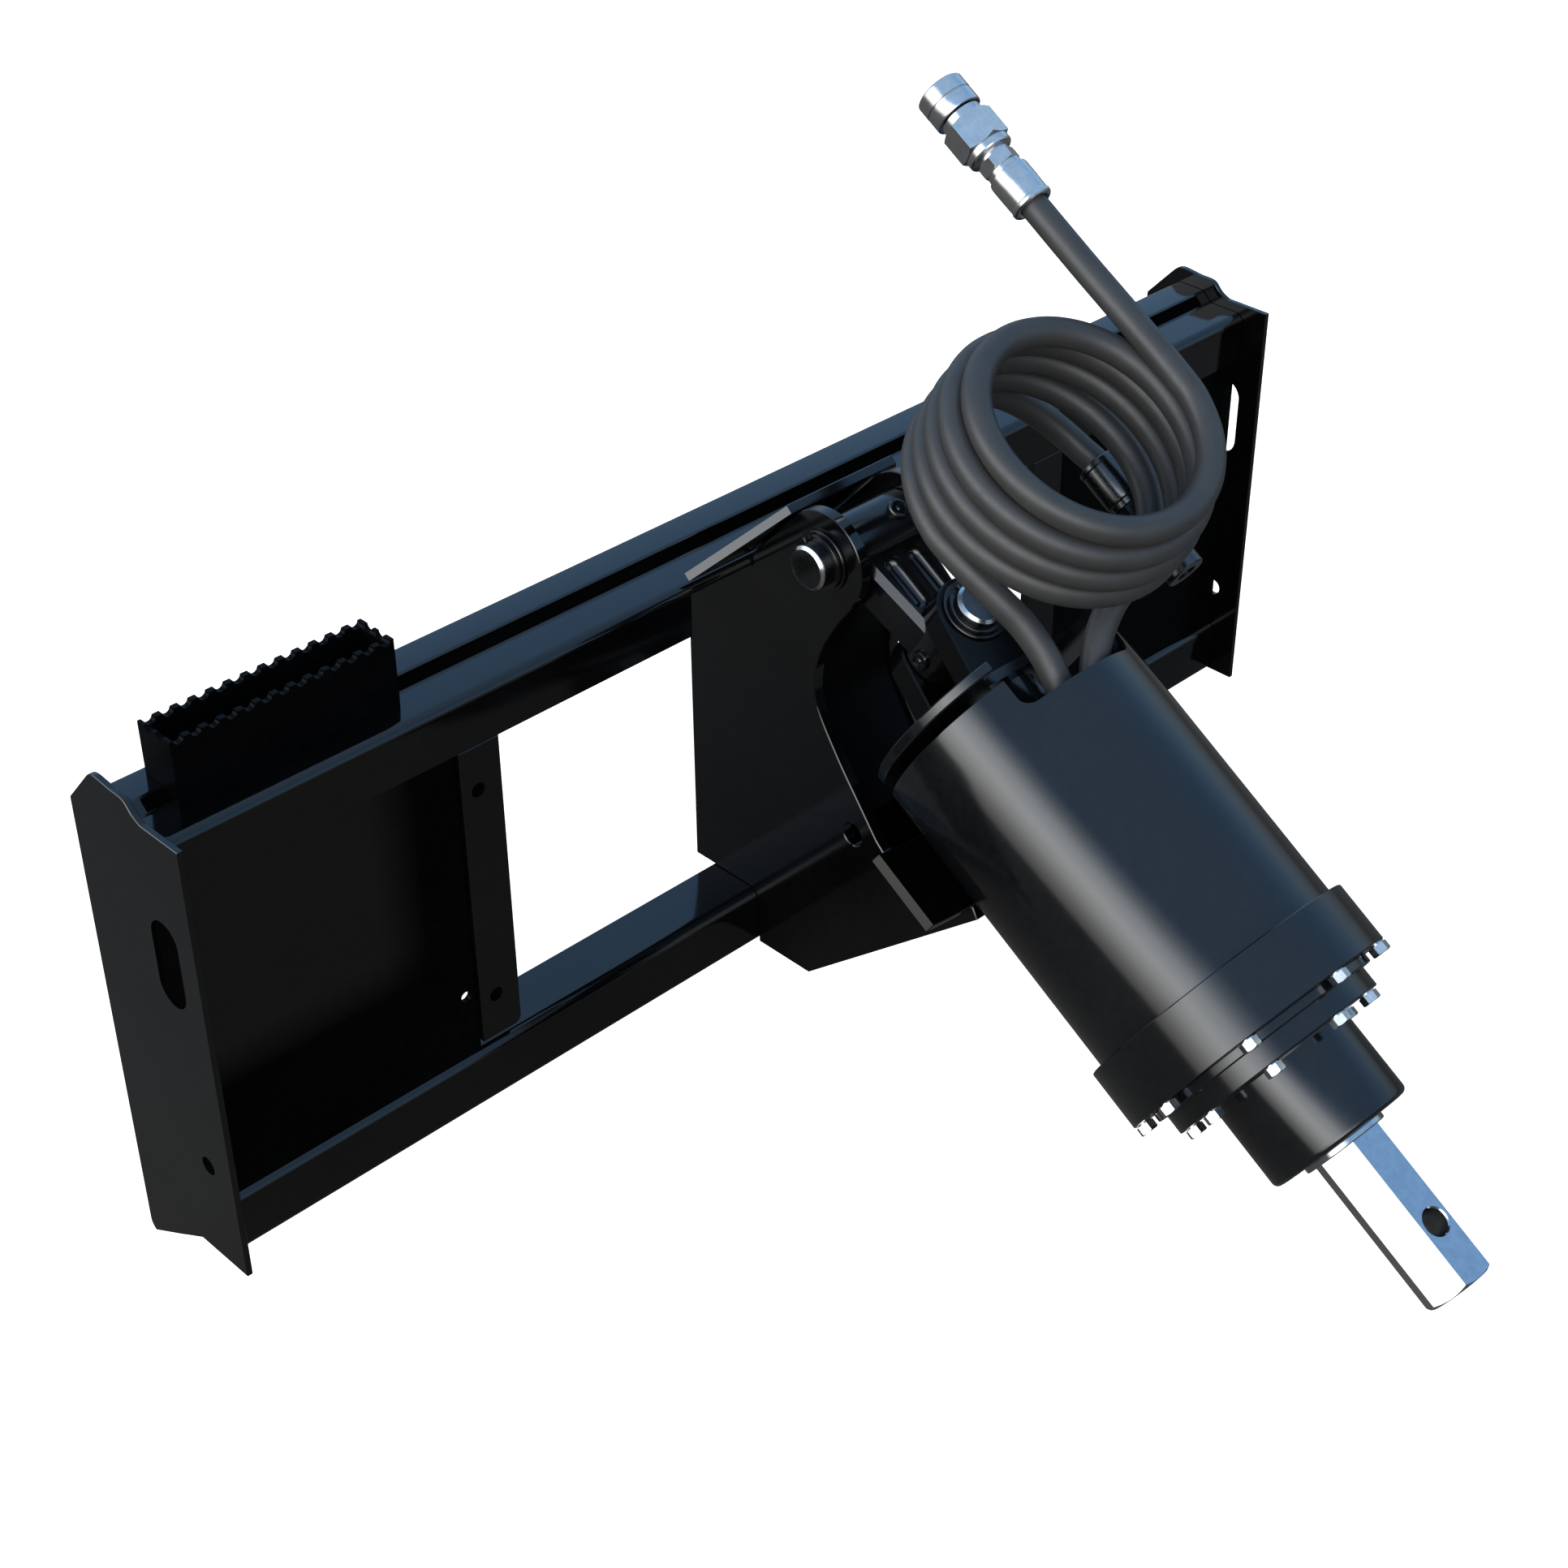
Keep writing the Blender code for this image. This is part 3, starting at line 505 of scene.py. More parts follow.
def smooth_line(pts, n):
    out = []
    for i in range(len(pts) - 1):
        p0, p1, p2, p3 = pts[max(i - 1, 0)], pts[i], pts[i + 1], pts[min(i + 2, len(pts) - 1)]
        for k in range(n):
            s = k / n
            out.append(tuple(0.5 * ((2 * b) + (c - a) * s + (2 * a - 5 * b + 4 * c - d) * s * s + (3 * b - a - 3 * c + d) * s ** 3)
                             for a, b, c, d in zip(p0, p1, p2, p3)))
    out.append(pts[-1])
    return out


YZ = lambda u, v, w: W(w, u, v)
XZ = lambda u, v, w: W(u, w, v)
XY = lambda u, v, w: W(u, v, w)
AX = lambda a, b, w: D(w, a, b)
AN = lambda a, b, w: D(a, EAR_T + b, w)
AT = lambda a, b, w: D(a, w, b)
DH = lambda u, v, w: D(u, v, w)


def put(o, body, slot, *nodes):
    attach(o, body)
    if nodes:
        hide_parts(*nodes)
    return o


# ------------------------------------------------------------------ hoses
def drive_len(pts):
    return sum(math.dist(a, b) for a, b in zip(pts, pts[1:]))


BEND = 88.0
route_a = [(12, 262, 52), (12, 251, 53), (12, 240, 56.5)]
bend_h = ((15, 64.5), (30, 74.0), (45, 84.0), (60, 93.5), (72, 99.5))
for deg, h in bend_h:
    route_a.append((12 + BEND * (1 - math.cos(math.radians(deg))), 240 - BEND * math.sin(math.radians(deg)), h))
LOOP = [(24.0, 105.0, 90.5), (90.0, 114.5, 95.0), (180.0, 127.0, 98.0), (270.0, 131.0, 98.0), (630.0, 153.0, 98.0), (990.0, 175.0, 97.0), (1080.0, 180.0, 95.0),
        (1170.0, 185.0, 91.0), (1260.0, 190.0, 89.0), (1350.0, 195.5, 88.5), (1440.0, 201.0, 88.5), (1530.0, 207.0, 88.5)]


def loop_at(a):
    """height and radius of the winding at angle a, smoothly between the stations"""
    for i in range(len(LOOP) - 1):
        a0, a1 = LOOP[i][0], LOOP[i + 1][0]
        if a <= a1 + 1e-9:
            f = (a - a0) / (a1 - a0)
            g = f * f * (3 - 2 * f)
            h = LOOP[i][1] + (LOOP[i + 1][1] - LOOP[i][1]) * f
            return h, LOOP[i][2] + (LOOP[i + 1][2] - LOOP[i][2]) * g
    return LOOP[-1][1], LOOP[-1][2]


a = 24.0
step = 18.0
coil_pts = []
while a < 1530.0 - 9.0:
    h, R = loop_at(a)
    coil_pts.append((COIL_X + R * math.sin(math.radians(a)), COIL_T + R * math.cos(math.radians(a)), h))
    a += step
coil_pts.append((COIL_X + 88, COIL_T, 206.6))
route_a += coil_pts
route_a += [(147.6, 40, 206.4), (148.2, 14, 205.4), (148.6, -12, 204.6), (149.3, -38, 203.4), (149.8, -72, 202.7), (150, -94, 202.5), (150, -112, 202.5)]

route_b = [(-15, 262, 52), (-15, 251, 53), (-14, 240, 56.5), (-11.5, 215, 67), (-10, 190, 76.5), (-10.5, 165, 85.5), (-15.5, 140, 93.0), (-23.5, 118, 98.5), (-30.5, 96, 102.5), (-34.2, 76, 104.3)]
for deg in (8, 26, 44, 62, 77, 90):
    q = math.radians(deg)
    route_b.append((COIL_X - 94.5 * math.cos(q), COIL_T - (94.5 + 5.5 * deg / 90) * math.sin(q), 104.4))
for deg in (14, 27, 40, 53, 65, 75):
    q, u = math.radians(deg), deg / 80.0
    rr = 100 + min(2.0, deg / 15.0)
    route_b.append((COIL_X + rr * math.sin(q), COIL_T - rr * math.cos(q), 104.4 - (104.4 - TAIL_H) * u * u * (3 - 2 * u)))
route_b += [(TAIL_X - 0.2, TAIL_T - 11, TAIL_H), (TAIL_X, TAIL_T - 4, TAIL_H), (TAIL_X, TAIL_T + 2.5, TAIL_H)]


def hose(name, route):
    """one open spline whose handles follow the route smoothly"""
    cu = bpy.data.curves.new(name, "CURVE")
    cu.dimensions = "3D"
    cu.bevel_depth = HOSE_R / 1000
    cu.bevel_resolution = 10
    cu.resolution_u = 8
    cu.use_fill_caps = True
    sp = cu.splines.new("BEZIER")
    sp.bezier_points.add(len(route) - 1)
    P = [D(*q) for q in route]
    for i, bp in enumerate(sp.bezier_points):
        bp.co = P[i]
        bp.handle_left_type = bp.handle_right_type = "FREE"
        a, b = P[max(i - 1, 0)], P[min(i + 1, len(P) - 1)]
        tan = (b - a).normalized()
        L0 = (P[i] - P[max(i - 1, 0)]).length
        L1 = (P[min(i + 1, len(P) - 1)] - P[i]).length
        bp.handle_left = P[i] - tan * (L0 * 0.338)
        bp.handle_right = P[i] + tan * (L1 * 0.338)
    cu.materials.append(RUBBER)
    o = bpy.data.objects.new(name, cu)
    scene.collection.objects.link(o)
    # length of the curve itself
    total = 0.0
    bps = sp.bezier_points
    for i in range(len(bps) - 1):
        p0, p1, p2, p3 = bps[i].co, bps[i].handle_right, bps[i + 1].handle_left, bps[i + 1].co
        last = p0
        for k in range(1, 13):
            s = k / 12
            q = p0 * (1 - s) ** 3 + p1 * (3 * s * (1 - s) ** 2) + p2 * (3 * s * s * (1 - s)) + p3 * s ** 3
            total += (q - last).length
            last = q
    return o, total, P[0]


hose_a, len_a, exit_a = hose("hose_a", route_a)
hose_b, len_b, exit_b = hose("hose_b", route_b)
put(hose_a, "drive", "hose_rubber", "hose_a_lead", "hose_coil", "hose_a_free_end")
put(hose_b, "drive", "hose_rubber", "hose_b_lead", "hose_b_tail")


# hose ends and couplers
def hexagon(name, af, a0, a1, fmap, material, rim=0.97, both=True, seg=12, phase=0.0):
    """hexagonal bar or nut along the axis, its corners turned off by a 30 degree chamfer"""
    R = af / math.sqrt(3)
    rc = af / 2 * rim
    k = math.tan(math.radians(30))
    n = 6 * seg
    rows = []
    sgn = 1 if a1 > a0 else -1

    def rad(i):
        t = (i % seg) / seg * 60 - 30
        return af / 2 / math.cos(math.radians(t))
    ring = []
    if both:
        ring.append([(rc, a0)] * n)
        ring.append([(rad(i), a0 + sgn * (rad(i) - rc) * k) for i in range(n)])
    else:
        ring.append([(rad(i), a0) for i in range(n)])
    ring.append([(rad(i), a1 - sgn * (rad(i) - rc) * k) for i in range(n)])
    ring.append([(rc, a1)] * n)
    verts, faces = [fmap(0, 0, a0)], []
    for rr in ring:
        rows.append([])
        for i, (r, w) in enumerate(rr):
            p = phase + math.radians(i / seg * 60 - 30)
            rows[-1].append(len(verts))
            verts.append(fmap(r * math.cos(p), r * math.sin(p), w))
    verts.append(fmap(0, 0, a1))
    last = len(verts) - 1
    for i in range(n):
        j = (i + 1) % n
        faces.append((0, rows[0][j], rows[0][i]))
        for A, B in zip(rows, rows[1:]):
            faces.append((A[i], A[j], B[j], B[i]))
        faces.append((rows[-1][i], rows[-1][j], last))
    return mesh_obj(name, verts, faces, material, 16)


def coupler_end(fm, name, finish):
    """crimped ferrule, hose nut and collar from the hose outwards, 0 at the hose"""
    parts = []
    ferr = [(11.4, -6.0), (13.2, -9.0), (15.6, -8.6), (16.6, -7.2), (16.8, -4.6), (16.1, -3.2), (16.2, 0.0), (16.4, 12.0), (16.4, 25.0), (15.8, 27.6), (14.2, 28.6), (14.0, 33.0),
            (12.6, 33.4), (11.2, 33.4), (11.2, -6.0)]
    parts.append(lathe("ferrule_" + name, ferr, 72, fm, finish))
    parts.append(hexagon("hose_nut_" + name, 27.0, 33.4, 45.5, fm, finish, 0.98))
    parts.append(lathe("neck_" + name, [(0, 45.4), (13.0, 45.4), (13.0, 48.0), (15.6, 48.6), (17.6, 49.6), (18.4, 51.0), (18.4, 56.4), (17.6, 57.4), (0, 57.4)], 72, fm, finish))
    return parts


ea = lambda a, b, w: D(150.0 + a, -110.85 - 0.86 * w, 202.5 + b)
parts = coupler_end(ea, "a", ZINC)
parts.append(hexagon("coupler_hex_a", 37.0, 57.3, 86.8, ea, ZINC, 1.0, phase=math.radians(12)))
parts.append(lathe("coupler_core_a", [(0, 86.0), (16.6, 86.0), (16.6, 93.6), (16.2, 94.1), (12.9, 94.1), (12.9, 120.4), (12.2, 121.0), (8.4, 121.0), (8.0, 120.4), (8.0, 106), (0, 106)], 72, ea, ZINC))
coupler_a = join("coupler_a_body", parts)
put(coupler_a, "drive", "plated_steel", "coupler_body")
es = lambda a, b, w: D(150.0 + a, -218.0 + 0.86 * (w + 220.0), 202.5 + b)
sleeve = lathe("coupler_a_sleeve", [(17.2, -190.2), (18.4, -190.2), (19.2, -190.7), (19.5, -191.6), (19.5, -203.6), (19.1, -204.2), (19.1, -204.9), (19.6, -205.5), (19.6, -218.2), (19.2, -219.2),
                                    (18.2, -220.0), (14.4, -220.0), (13.3, -219.2), (13.3, -197.6), (17.2, -197.4)], 96, es, ZINC)
put(sleeve, "coupler_collar", "plated_steel", "coupler_sleeve")
eb = lambda a, b, w: D(TAIL_X + a, TAIL_T + 0.35 + w, TAIL_H + b)
parts = coupler_end(eb, "b", OXIDE)
parts.append(hexagon("coupler_hex_b", 37.0, 57.3, 84.0, eb, OXIDE, 1.0))
parts.append(lathe("coupler_core_b", [(0, 83.8), (16.4, 83.8), (16.4, 86.5), (15.9, 87.2), (15.9, 99.6), (15.0, 100.8), (8.6, 100.8), (8.0, 100.2), (8.0, 88), (0, 88)], 72, eb, OXIDE))
coupler_b = join("coupler_b_half", parts)
put(coupler_b, "drive", "plated_steel", "coupler_b")

# ------------------------------------------------------------------ frame
side = [(0, 0), (43, 0)] + smooth_line([(43, 0), (51.6, 4), (59.5, 11.4), (67, 12.9), (76, 13), (86, 14), (95, 14.6), (101, 13), (106, 8.6)], 4)[1:] + [(120, -6.5), (133.3, -20.9)]
side += [(133.3, -412.5)] + arc(123.3, -412.5, 10, 0, -64, 8)[1:] + [(92, -401), (56.8, -380.2), (0, -380)]
slot = arc(36.4, -132.8, 15.7, 180, 360, 28) + arc(36.4, -91.7, 15.7, 0, 180, 28)
small = circle(29.4, -291, 7.5, 40)
put(prism("side_plate_right_skin", side, WIDTH - PLATE, WIDTH, YZ, FRAME_PAINT, holes=[slot, small], c=0.5), "frame", "frame_paint", "side_plate_right")
left_plate = prism("side_plate_left_skin", side, 0.0, PLATE, YZ, FRAME_PAINT, c=0.5)
tools = [prism("cut_left_slot", slot, -3.0, 3.6, YZ, FRAME_PAINT, c=0), prism("cut_left_hole", small, -3.0, 3.6, YZ, FRAME_PAINT, c=0)]
put(bake(boolean(left_plate, *tools), tools), "frame", "frame_paint", "side_plate_left")
# painted shade: matte black floors of the left plate's recesses, standing in for the dark inside of the slot and hole
put(join("side_recess_floors", [prism("floor_slot", offset_loop(slot, 0.2), 3.0, 3.55, YZ, SHADE, c=0), prism("floor_hole", circle(29.4, -291, 7.3, 40), 3.0, 3.55, YZ, SHADE, c=0)]), "frame", "frame_paint")

X0, X1 = PLATE + GAP, WIDTH - PLATE - GAP
beam_path = fillet([(24, -52), (24, -8), (60.7, -8), (69.7, 1), (98, 1), (122.5, -25.4)], [8, 5, 5, 4], 8)
beam = prism("top_beam_skin", sheet_outline(beam_path, PLATE), X0, X1, YZ, FRAME_PAINT, c=0.4)
tools = [prism("cut_step", [(61.6, -7.1), (64.07, -9.57), (71.27, -2.37), (68.8, 0.1), (64.2, 4.7), (57.0, -2.5)], 17.0, 1128.0, YZ, FRAME_PAINT, c=0),
         box("cut_front", (472, 20, -60), (694, 29.6, -15.2), W)]
put(bake(boolean(beam, *tools), tools), "frame", "frame_paint", "top_beam")
# painted shade: matte black lining of the groove in the step, standing in for the dark inside of the slot
groove = [(0.06, 3.3), (0.06, 0.06), (10.12, 0.06), (10.12, 3.3), (9.7, 3.3), (9.7, 0.5), (0.5, 0.5), (0.5, 3.3)]
put(prism("step_groove_lining", [(64.07 + 0.7071 * (a - b), -9.57 + 0.7071 * (a + b)) for a, b in groove], 17.2, 1127.8, YZ, SHADE, c=0), "frame", "frame_paint")

low_path = fillet([(123.0, -419.2), (57.4, -380.5), (24, -380.5), (24, -328), (77, -328)], [6, 7, 10], 8)
low = prism("bottom_beam_skin", sheet_outline(low_path, PLATE), X0, X1, YZ, FRAME_PAINT, c=0.4)
tools = []
for i, cx in enumerate((217.0, 928.0)):
    rr = 8.0
    slot_o = arc(cx - 22 + rr, 78 + rr, rr, 180, 270, 6) + arc(cx + 22 - rr, 78 + rr, rr, 270, 360, 6) + arc(cx + 22 - rr, 106 - rr, rr, 0, 90, 6) + arc(cx - 22 + rr, 106 - rr, rr, 90, 180, 6)
    tools.append(prism("cut_lock_slot_%d" % i, slot_o, -425, -370, XY, FRAME_PAINT, c=0))
put(bake(boolean(low, *tools), tools), "frame", "frame_paint", "bottom_beam")

fp = [(PLATE + GAP, -327.6), (245.0, -327.6), (245.0, -52.3), (PLATE + GAP, -52.3)]
put(prism("face_plate_left_skin", fp, 28, 33, XZ, LEFT_SHADE_PAINT, holes=[circle(235.4, -271, 4.5, 32)], c=0.4), "frame", "frame_paint", "face_plate_left")
# painted shade: the right face plate is dulled to black because it lies in the shade of the cheek, drive and hoses
put(prism("face_plate_right_skin", [(WIDTH - u, v) for u, v in fp], 28, 33, XZ, DULL_AND_SHADE_PAINT, holes=[circle(WIDTH - 235.4, -271, 4.5, 32)], c=0.4), "frame", "frame_paint", "face_plate_right")
strap = [(245.4, -319)] + arc(275.5, -312, 7, 270, 360, 8) + [(282.5, -52.4), (245.4, -52.4)]
for nm, fl in (("left", lambda u: u), ("right", lambda u: WIDTH - u)):
    st = prism("window_strap_%s_skin" % nm, [(fl(u), v) for u, v in strap], 24, 32, XZ, FRAME_PAINT, c=0.6)
    tools = [prism("cut_blind_%d" % k, circle(fl(260.3), v, 6, 32), 20, 29.5, XZ, FRAME_PAINT, c=0) for k, v in enumerate((-90, -280))]
    put(bake(boolean(st, *tools), tools), "frame", "frame_paint", "window_strap_" + nm)
    # painted shade: matte black discs at the floors of the strap's blind holes, standing in for their dark inside
    put(join("strap_hole_floors_" + nm, [prism("floor_%d" % k, circle(fl(260.3), v, 5.8, 32), 28.9, 29.45, XZ, SHADE, c=0) for k, v in enumerate((-90, -280))]), "frame", "frame_paint")

sad0, sad1 = drive_yz(196, -115.2), drive_yz(261, -115.2)
concave = [(-85.3, -7.4), (-70.3, -25.2), (-51.9, -56.3), (-43.3, -86.2), (-45.6, -112.4), (-67.4, -149.1), (-91.3, -181.7), (-110.5, -207.5)]
curve = smooth_line(concave[1:], 8)
boss = arc(hy, hz, 40, 48, 222, 48)
cheek = [(99, -327.5), (99, -14.4), (62.2, -14.4), (61.5, -13.7), (34.0, -13.7), (30.0, -16.0), (23.6, -16.0), (23.6, -5.0)]
cheek += boss + [(-82.2, -9.8)] + curve + [(-118.0, -214.6), (-127.5, -213.0), (-137.5, -203.5)]
cheek += [sad0, sad1, (-217.5, -226.5), (-150.8, -283.0), (-35, -381), (23.6, -381)]
cheek += [(23.6, -337.8)] + arc(34, -338, 10.4, 180, 90, 8)[1:] + [(77.4, -327.5)]
for nm, x0, x1 in (("left", XC - CHEEK_IN - CHEEK_T, XC - CHEEK_IN), ("right", XC + CHEEK_IN, XC + CHEEK_IN + CHEEK_T)):
    put(prism("hitch_cheek_%s_skin" % nm, cheek, x0, x1, YZ, FRAME_PAINT, holes=[circle(hy, hz, PIN_R + BORE, 64), circle(-84.8, -214.7, 10, 36)], c=0.7), "frame", "frame_paint",
        "hitch_cheek_" + nm)
web_front = offset_line(smooth_line(concave[1:7] + [(-98.0, -191.0)], 8), 4.0)
put(prism("hitch_web_skin", sheet_outline(web_front, -6.0), XC - CHEEK_IN + GAP, XC + CHEEK_IN - GAP, YZ, DULL_AND_SHADE_PAINT, c=0.4), "frame", "frame_paint", "hitch_web")
sad_c, sad_r, sad_t = 151.0, 260.0, 8.0
half = math.degrees(math.asin(108.0 / sad_r))
band = arc(0, sad_c, sad_r, 270 - half, 270 + half, 64) + arc(0, sad_c, sad_r + sad_t, 270 + half, 270 - half, 64)
put(prism("cradle_saddle_skin", band, 195, 262, lambda u, v, w: W(XC + u, *drive_yz(w, v)), FRAME_PAINT, c=0.7), "frame", "frame_paint", "cradle_saddle")
up, out = (-0.670, 0.742), (0.742, 0.670)
on_cap = lambda u, v, w: W(u, 24.0 + up[0] * v + out[0] * w, -3.6 + up[1] * v + out[1] * w)
put(prism("hitch_cap_skin", [(471, 0), (695, 0), (645, 69.4), (533, 69.4)], 0, 8, on_cap, FRAME_PAINT, c=0.7), "frame", "frame_paint", "hitch_cap_plate")

# grip tread: every crown and scallop of its top edge
tread = prism("step_tread_skin", [(36, 52), (220, 52), (220, 90), (36, 90)], -7.6, 44, XY, DULL_AND_SHADE_PAINT, holes=[[(41, 57), (215, 57), (215, 85), (41, 85)]], c=0.0)
pitch = 184.0 / 13
tools = [prism("cut_seat", [(59.9, -20), (96, -20), (96, 1.4), (69.2, 1.4), (59.9, -7.9)], 30, 226, YZ, DULL_AND_SHADE_PAINT, c=0)]
for i in range(13):
    tools.append(prism("cut_long_%d" % i, circle(36 + pitch * (i + 0.5), 44.4, 4.3, 28, 0.05), 46, 96, lambda u, v, w: W(u, w, v), DULL_AND_SHADE_PAINT, c=0))
for i, yy in enumerate((64.5, 77.5)):
    tools.append(prism("cut_end_%d" % i, circle(yy, 44.4, 4.3, 28, 0.05), 30, 226, YZ, DULL_AND_SHADE_PAINT, c=0))
put(bake(boolean(tread, *tools), tools), "frame", "frame_paint", "step_tread")

# hitch pin with snap rings, each with its gap, and thrust washers
PX = lambda a, b, w: W(XC + w, hy + a, hz + b)


def pin(name, half_len, groove, fmap, body, node):
    g0, g1 = groove
    prof = [(0, -half_len), (14.6, -half_len), (15.4, -half_len + 0.15), (17.6, -half_len + 2.1), (18, -half_len + 2.9), (18, -g1), (16.1, -g1), (16.1, -g0), (18, -g0), (18, g0), (16.1, g0),
            (16.1, g1), (18, g1), (18, half_len - 2.9), (17.6, half_len - 2.1), (15.4, half_len - 0.15), (14.6, half_len), (0, half_len)]
    put(lathe(name + "_turned", prof, 96, fmap, OXIDE), body, "plated_steel", node)
    # painted highlight: a thin bright zinc ring over each end chamfer of the dark pin, where the chamfer catches the
    # light
    for sg in (-1, 1):
        put(lathe("%s_edge_%s" % (name, "a" if sg < 0 else "b"), [(15.4, sg * (half_len - 0.15)), (17.6, sg * (half_len - 2.1)), (17.75, sg * (half_len - 2.0)), (17.85, sg * (half_len - 1.8)), (15.5, sg * (half_len + 0.1)), (15.3, sg * (half_len + 0.08))],
                  96, fmap, ZINC), body, "plated_steel")


def snap_ring(name, w0, w1, fmap, body, node, gap_at=100.0):
    g = 13.0
    o = arc(0, 0, 22.0, gap_at + g, gap_at + 360 - g, 56)
    i = arc(0, 0, 16.3, gap_at + 360 - g * 1.1, gap_at + g * 1.1, 56)
    put(prism(name + "_ring", o + i, min(w0, w1), max(w0, w1), lambda u, v, w: fmap(u, v, w), DRIVE_PAINT, c=0.25), body, "plated_steel", node)


pin("hitch_pin", 65.0, (49.9, 53.4), PX, "frame", "hitch_pin")
snap_ring("hitch_left", -50.2, -53.1, PX, "frame", "hitch_ring_left", 60)
snap_ring("hitch_right", 50.2, 53.1, PX, "frame", "hitch_ring_right", 120)
washer = lambda nm, fmap, w0, w1, body, r=24.5: put(lathe(nm, [(18.4, w0 + 0.3), (18.7, w0), (r - 0.5, w0), (r, w0 + 0.5), (r, w1 - 0.5), (r - 0.5, w1), (18.7, w1), (18.4, w1 - 0.3)], 72, fmap, CAST_PAINT),
                                                    body, "cast_paint")
washer("hitch_washer_left", PX, -49.8, -47.3, "frame")
washer("hitch_washer_right", PX, 47.3, 49.8, "frame")

# ------------------------------------------------------------------ knuckle
boss_prof = [(PIN_R + BORE, -36.0), (PIN_R + BORE + 0.6, -36.5), (25.0, -36.5), (26.5, -35.8), (27, -34.6), (27, 34.6), (26.5, 35.8), (25.0, 36.5), (PIN_R + BORE + 0.6, 36.5), (PIN_R + BORE, 36.0)]
kn = lathe("knuckle_skin", boss_prof, 72, AX, CAST_PAINT)
web = prism("tool_web", [(-33, 20), (-25, 92), (-22, 100), (22, 100), (25, 92), (33, 20)], -19, 19, DH, CAST_PAINT, c=5.0)
lower = lathe("tool_lower", [(0, -19.6), (25.2, -19.6), (26.9, -18.9), (27.5, -17.4), (27.5, 17.4), (26.9, 18.9), (25.2, 19.6), (0, 19.6)], 72, AN, CAST_PAINT)
cuts = [lathe("cut_bore", [(0, -30), (PIN_R + BORE, -30), (PIN_R + BORE, 30), (0, 30)], 64, AN, CAST_PAINT),
        lathe("cut_bore_up", [(0, -45), (PIN_R + BORE, -45), (PIN_R + BORE, 45), (0, 45)], 64, AX, CAST_PAINT)]
# wide round valleys between three ribs, run out in a sphere's curve at both ends
for i, (sx, sg) in enumerate(((-11.8, -1), (11.8, -1), (-11.8, 1), (11.8, 1))):
    prof = [(0, 24.5)] + [(9.0 * math.sin(math.radians(k * 15)), 33.5 - 9.0 * math.cos(math.radians(k * 15))) for k in range(1, 7)]
    prof += [(9.0 * math.cos(math.radians(k * 15)), 66.0 + 9.0 * math.sin(math.radians(k * 15))) for k in range(0, 6)] + [(0, 75.0)]
    cuts.append(lathe("cut_flute_%d" % i, prof, 32, (lambda cx, hh: (lambda a, b, w: D(cx + a, w, hh + b)))(sx, sg * 18.5), CAST_PAINT))
boolean(kn, web, lower, op="UNION")
boolean(kn, *cuts)
put(bake(kn, [web, lower] + cuts, sharp=30, bevel=1.3, segments=3, angle=38), "knuckle", "cast_paint", "knuckle")


def cap(name, fm, body, r=8.5, hgt=5.0):
    """grease point cap: a turned boss with a screwdriver-free domed centre"""
    put(lathe(name, [(0, -1.5), (r, -1.5), (r, hgt - 1.6), (r - 0.7, hgt - 0.5), (r - 2.2, hgt), (r - 3.0, hgt), (r - 3.5, hgt - 1.2), (2.6, hgt - 1.2), (1.6, hgt - 0.2), (0, hgt - 0.1)], 48, fm, CAST_PAINT),
        body, "cast_paint")


cap("knuckle_cap_upper", lambda a, b, w: D(17.0 + a, b, 26.6 + w), "knuckle")
cap("knuckle_cap_lower", lambda a, b, w: D(-27.0 - w, EAR_T + a, -6.0 + b), "knuckle", 8.0, 4.0)

# ------------------------------------------------------------------ drive
ear = arc(0, EAR_T, 30, 195, 345, 48) + [(41, 149.2), (-41, 149.2)]
for nm, x0, x1 in (("front", 20.0, 44.0), ("rear", -44.0, -20.0)):
    put(prism("ear_%s_skin" % nm, ear, x0, x1, DH, EAR_PAINT, holes=[circle(0, EAR_T, PIN_R + BORE, 64)], c=1.4, sharp=30), "drive", "cast_paint", "ear_" + nm)
pin("ear_pin", 56.0, (46.5, 50.0), AN, "drive", "ear_pin")
snap_ring("ear_front", 46.8, 49.7, AN, "drive", "ear_ring_front", 250)
snap_ring("ear_rear", -46.8, -49.7, AN, "drive", "ear_ring_rear", 250)
washer("ear_washer_front", AN, 44.3, 46.5, "drive", 25.5)
washer("ear_washer_rear", AN, -46.5, -44.3, "drive", 25.5)

head = lathe("head_plate_skin", [(0, 149.5), (HOOD_R - 1.0, 149.5), (HOOD_R, 150.5), (HOOD_R, 156.5), (HOOD_R - 1.0, 157.5), (40, 157.5), (40, 214), (0, 214)], 144, AT, DRIVE_PAINT)
tools = [prism("cut_head", [(-57, 50), (57, 50), (57, 120), (-57, 120)], 140, 165, lambda u, v, w: D(u, w, v), DRIVE_PAINT, c=0)]
put(bake(boolean(head, *tools), tools), "drive", "drive_paint", "head_plate")
ri, ro = HOOD_R - HOOD_WALL, HOOD_R
hood = lathe("hood_skin", [(ri, HOOD_TOP + 0.8), (ri + 0.8, HOOD_TOP), (ro - 0.9, HOOD_TOP), (ro - 0.25, HOOD_TOP + 0.25), (ro, HOOD_TOP + 0.9), (ro, HOOD_END - GAP), (ri, HOOD_END - GAP)], 216, AT, DRIVE_PAINT)
notch = [(-56.3, 150)] + arc(-46.3, 184, 10, 180, 90, 16) + arc(46.3, 184, 10, 90, 0, 16) + [(56.3, 150)]
tools = [prism("cut_hood_notch", notch, 40, 125, DH, DRIVE_PAINT, c=0)]
put(bake(boolean(hood, *tools), tools, sharp=30), "drive", "drive_paint", "hood")

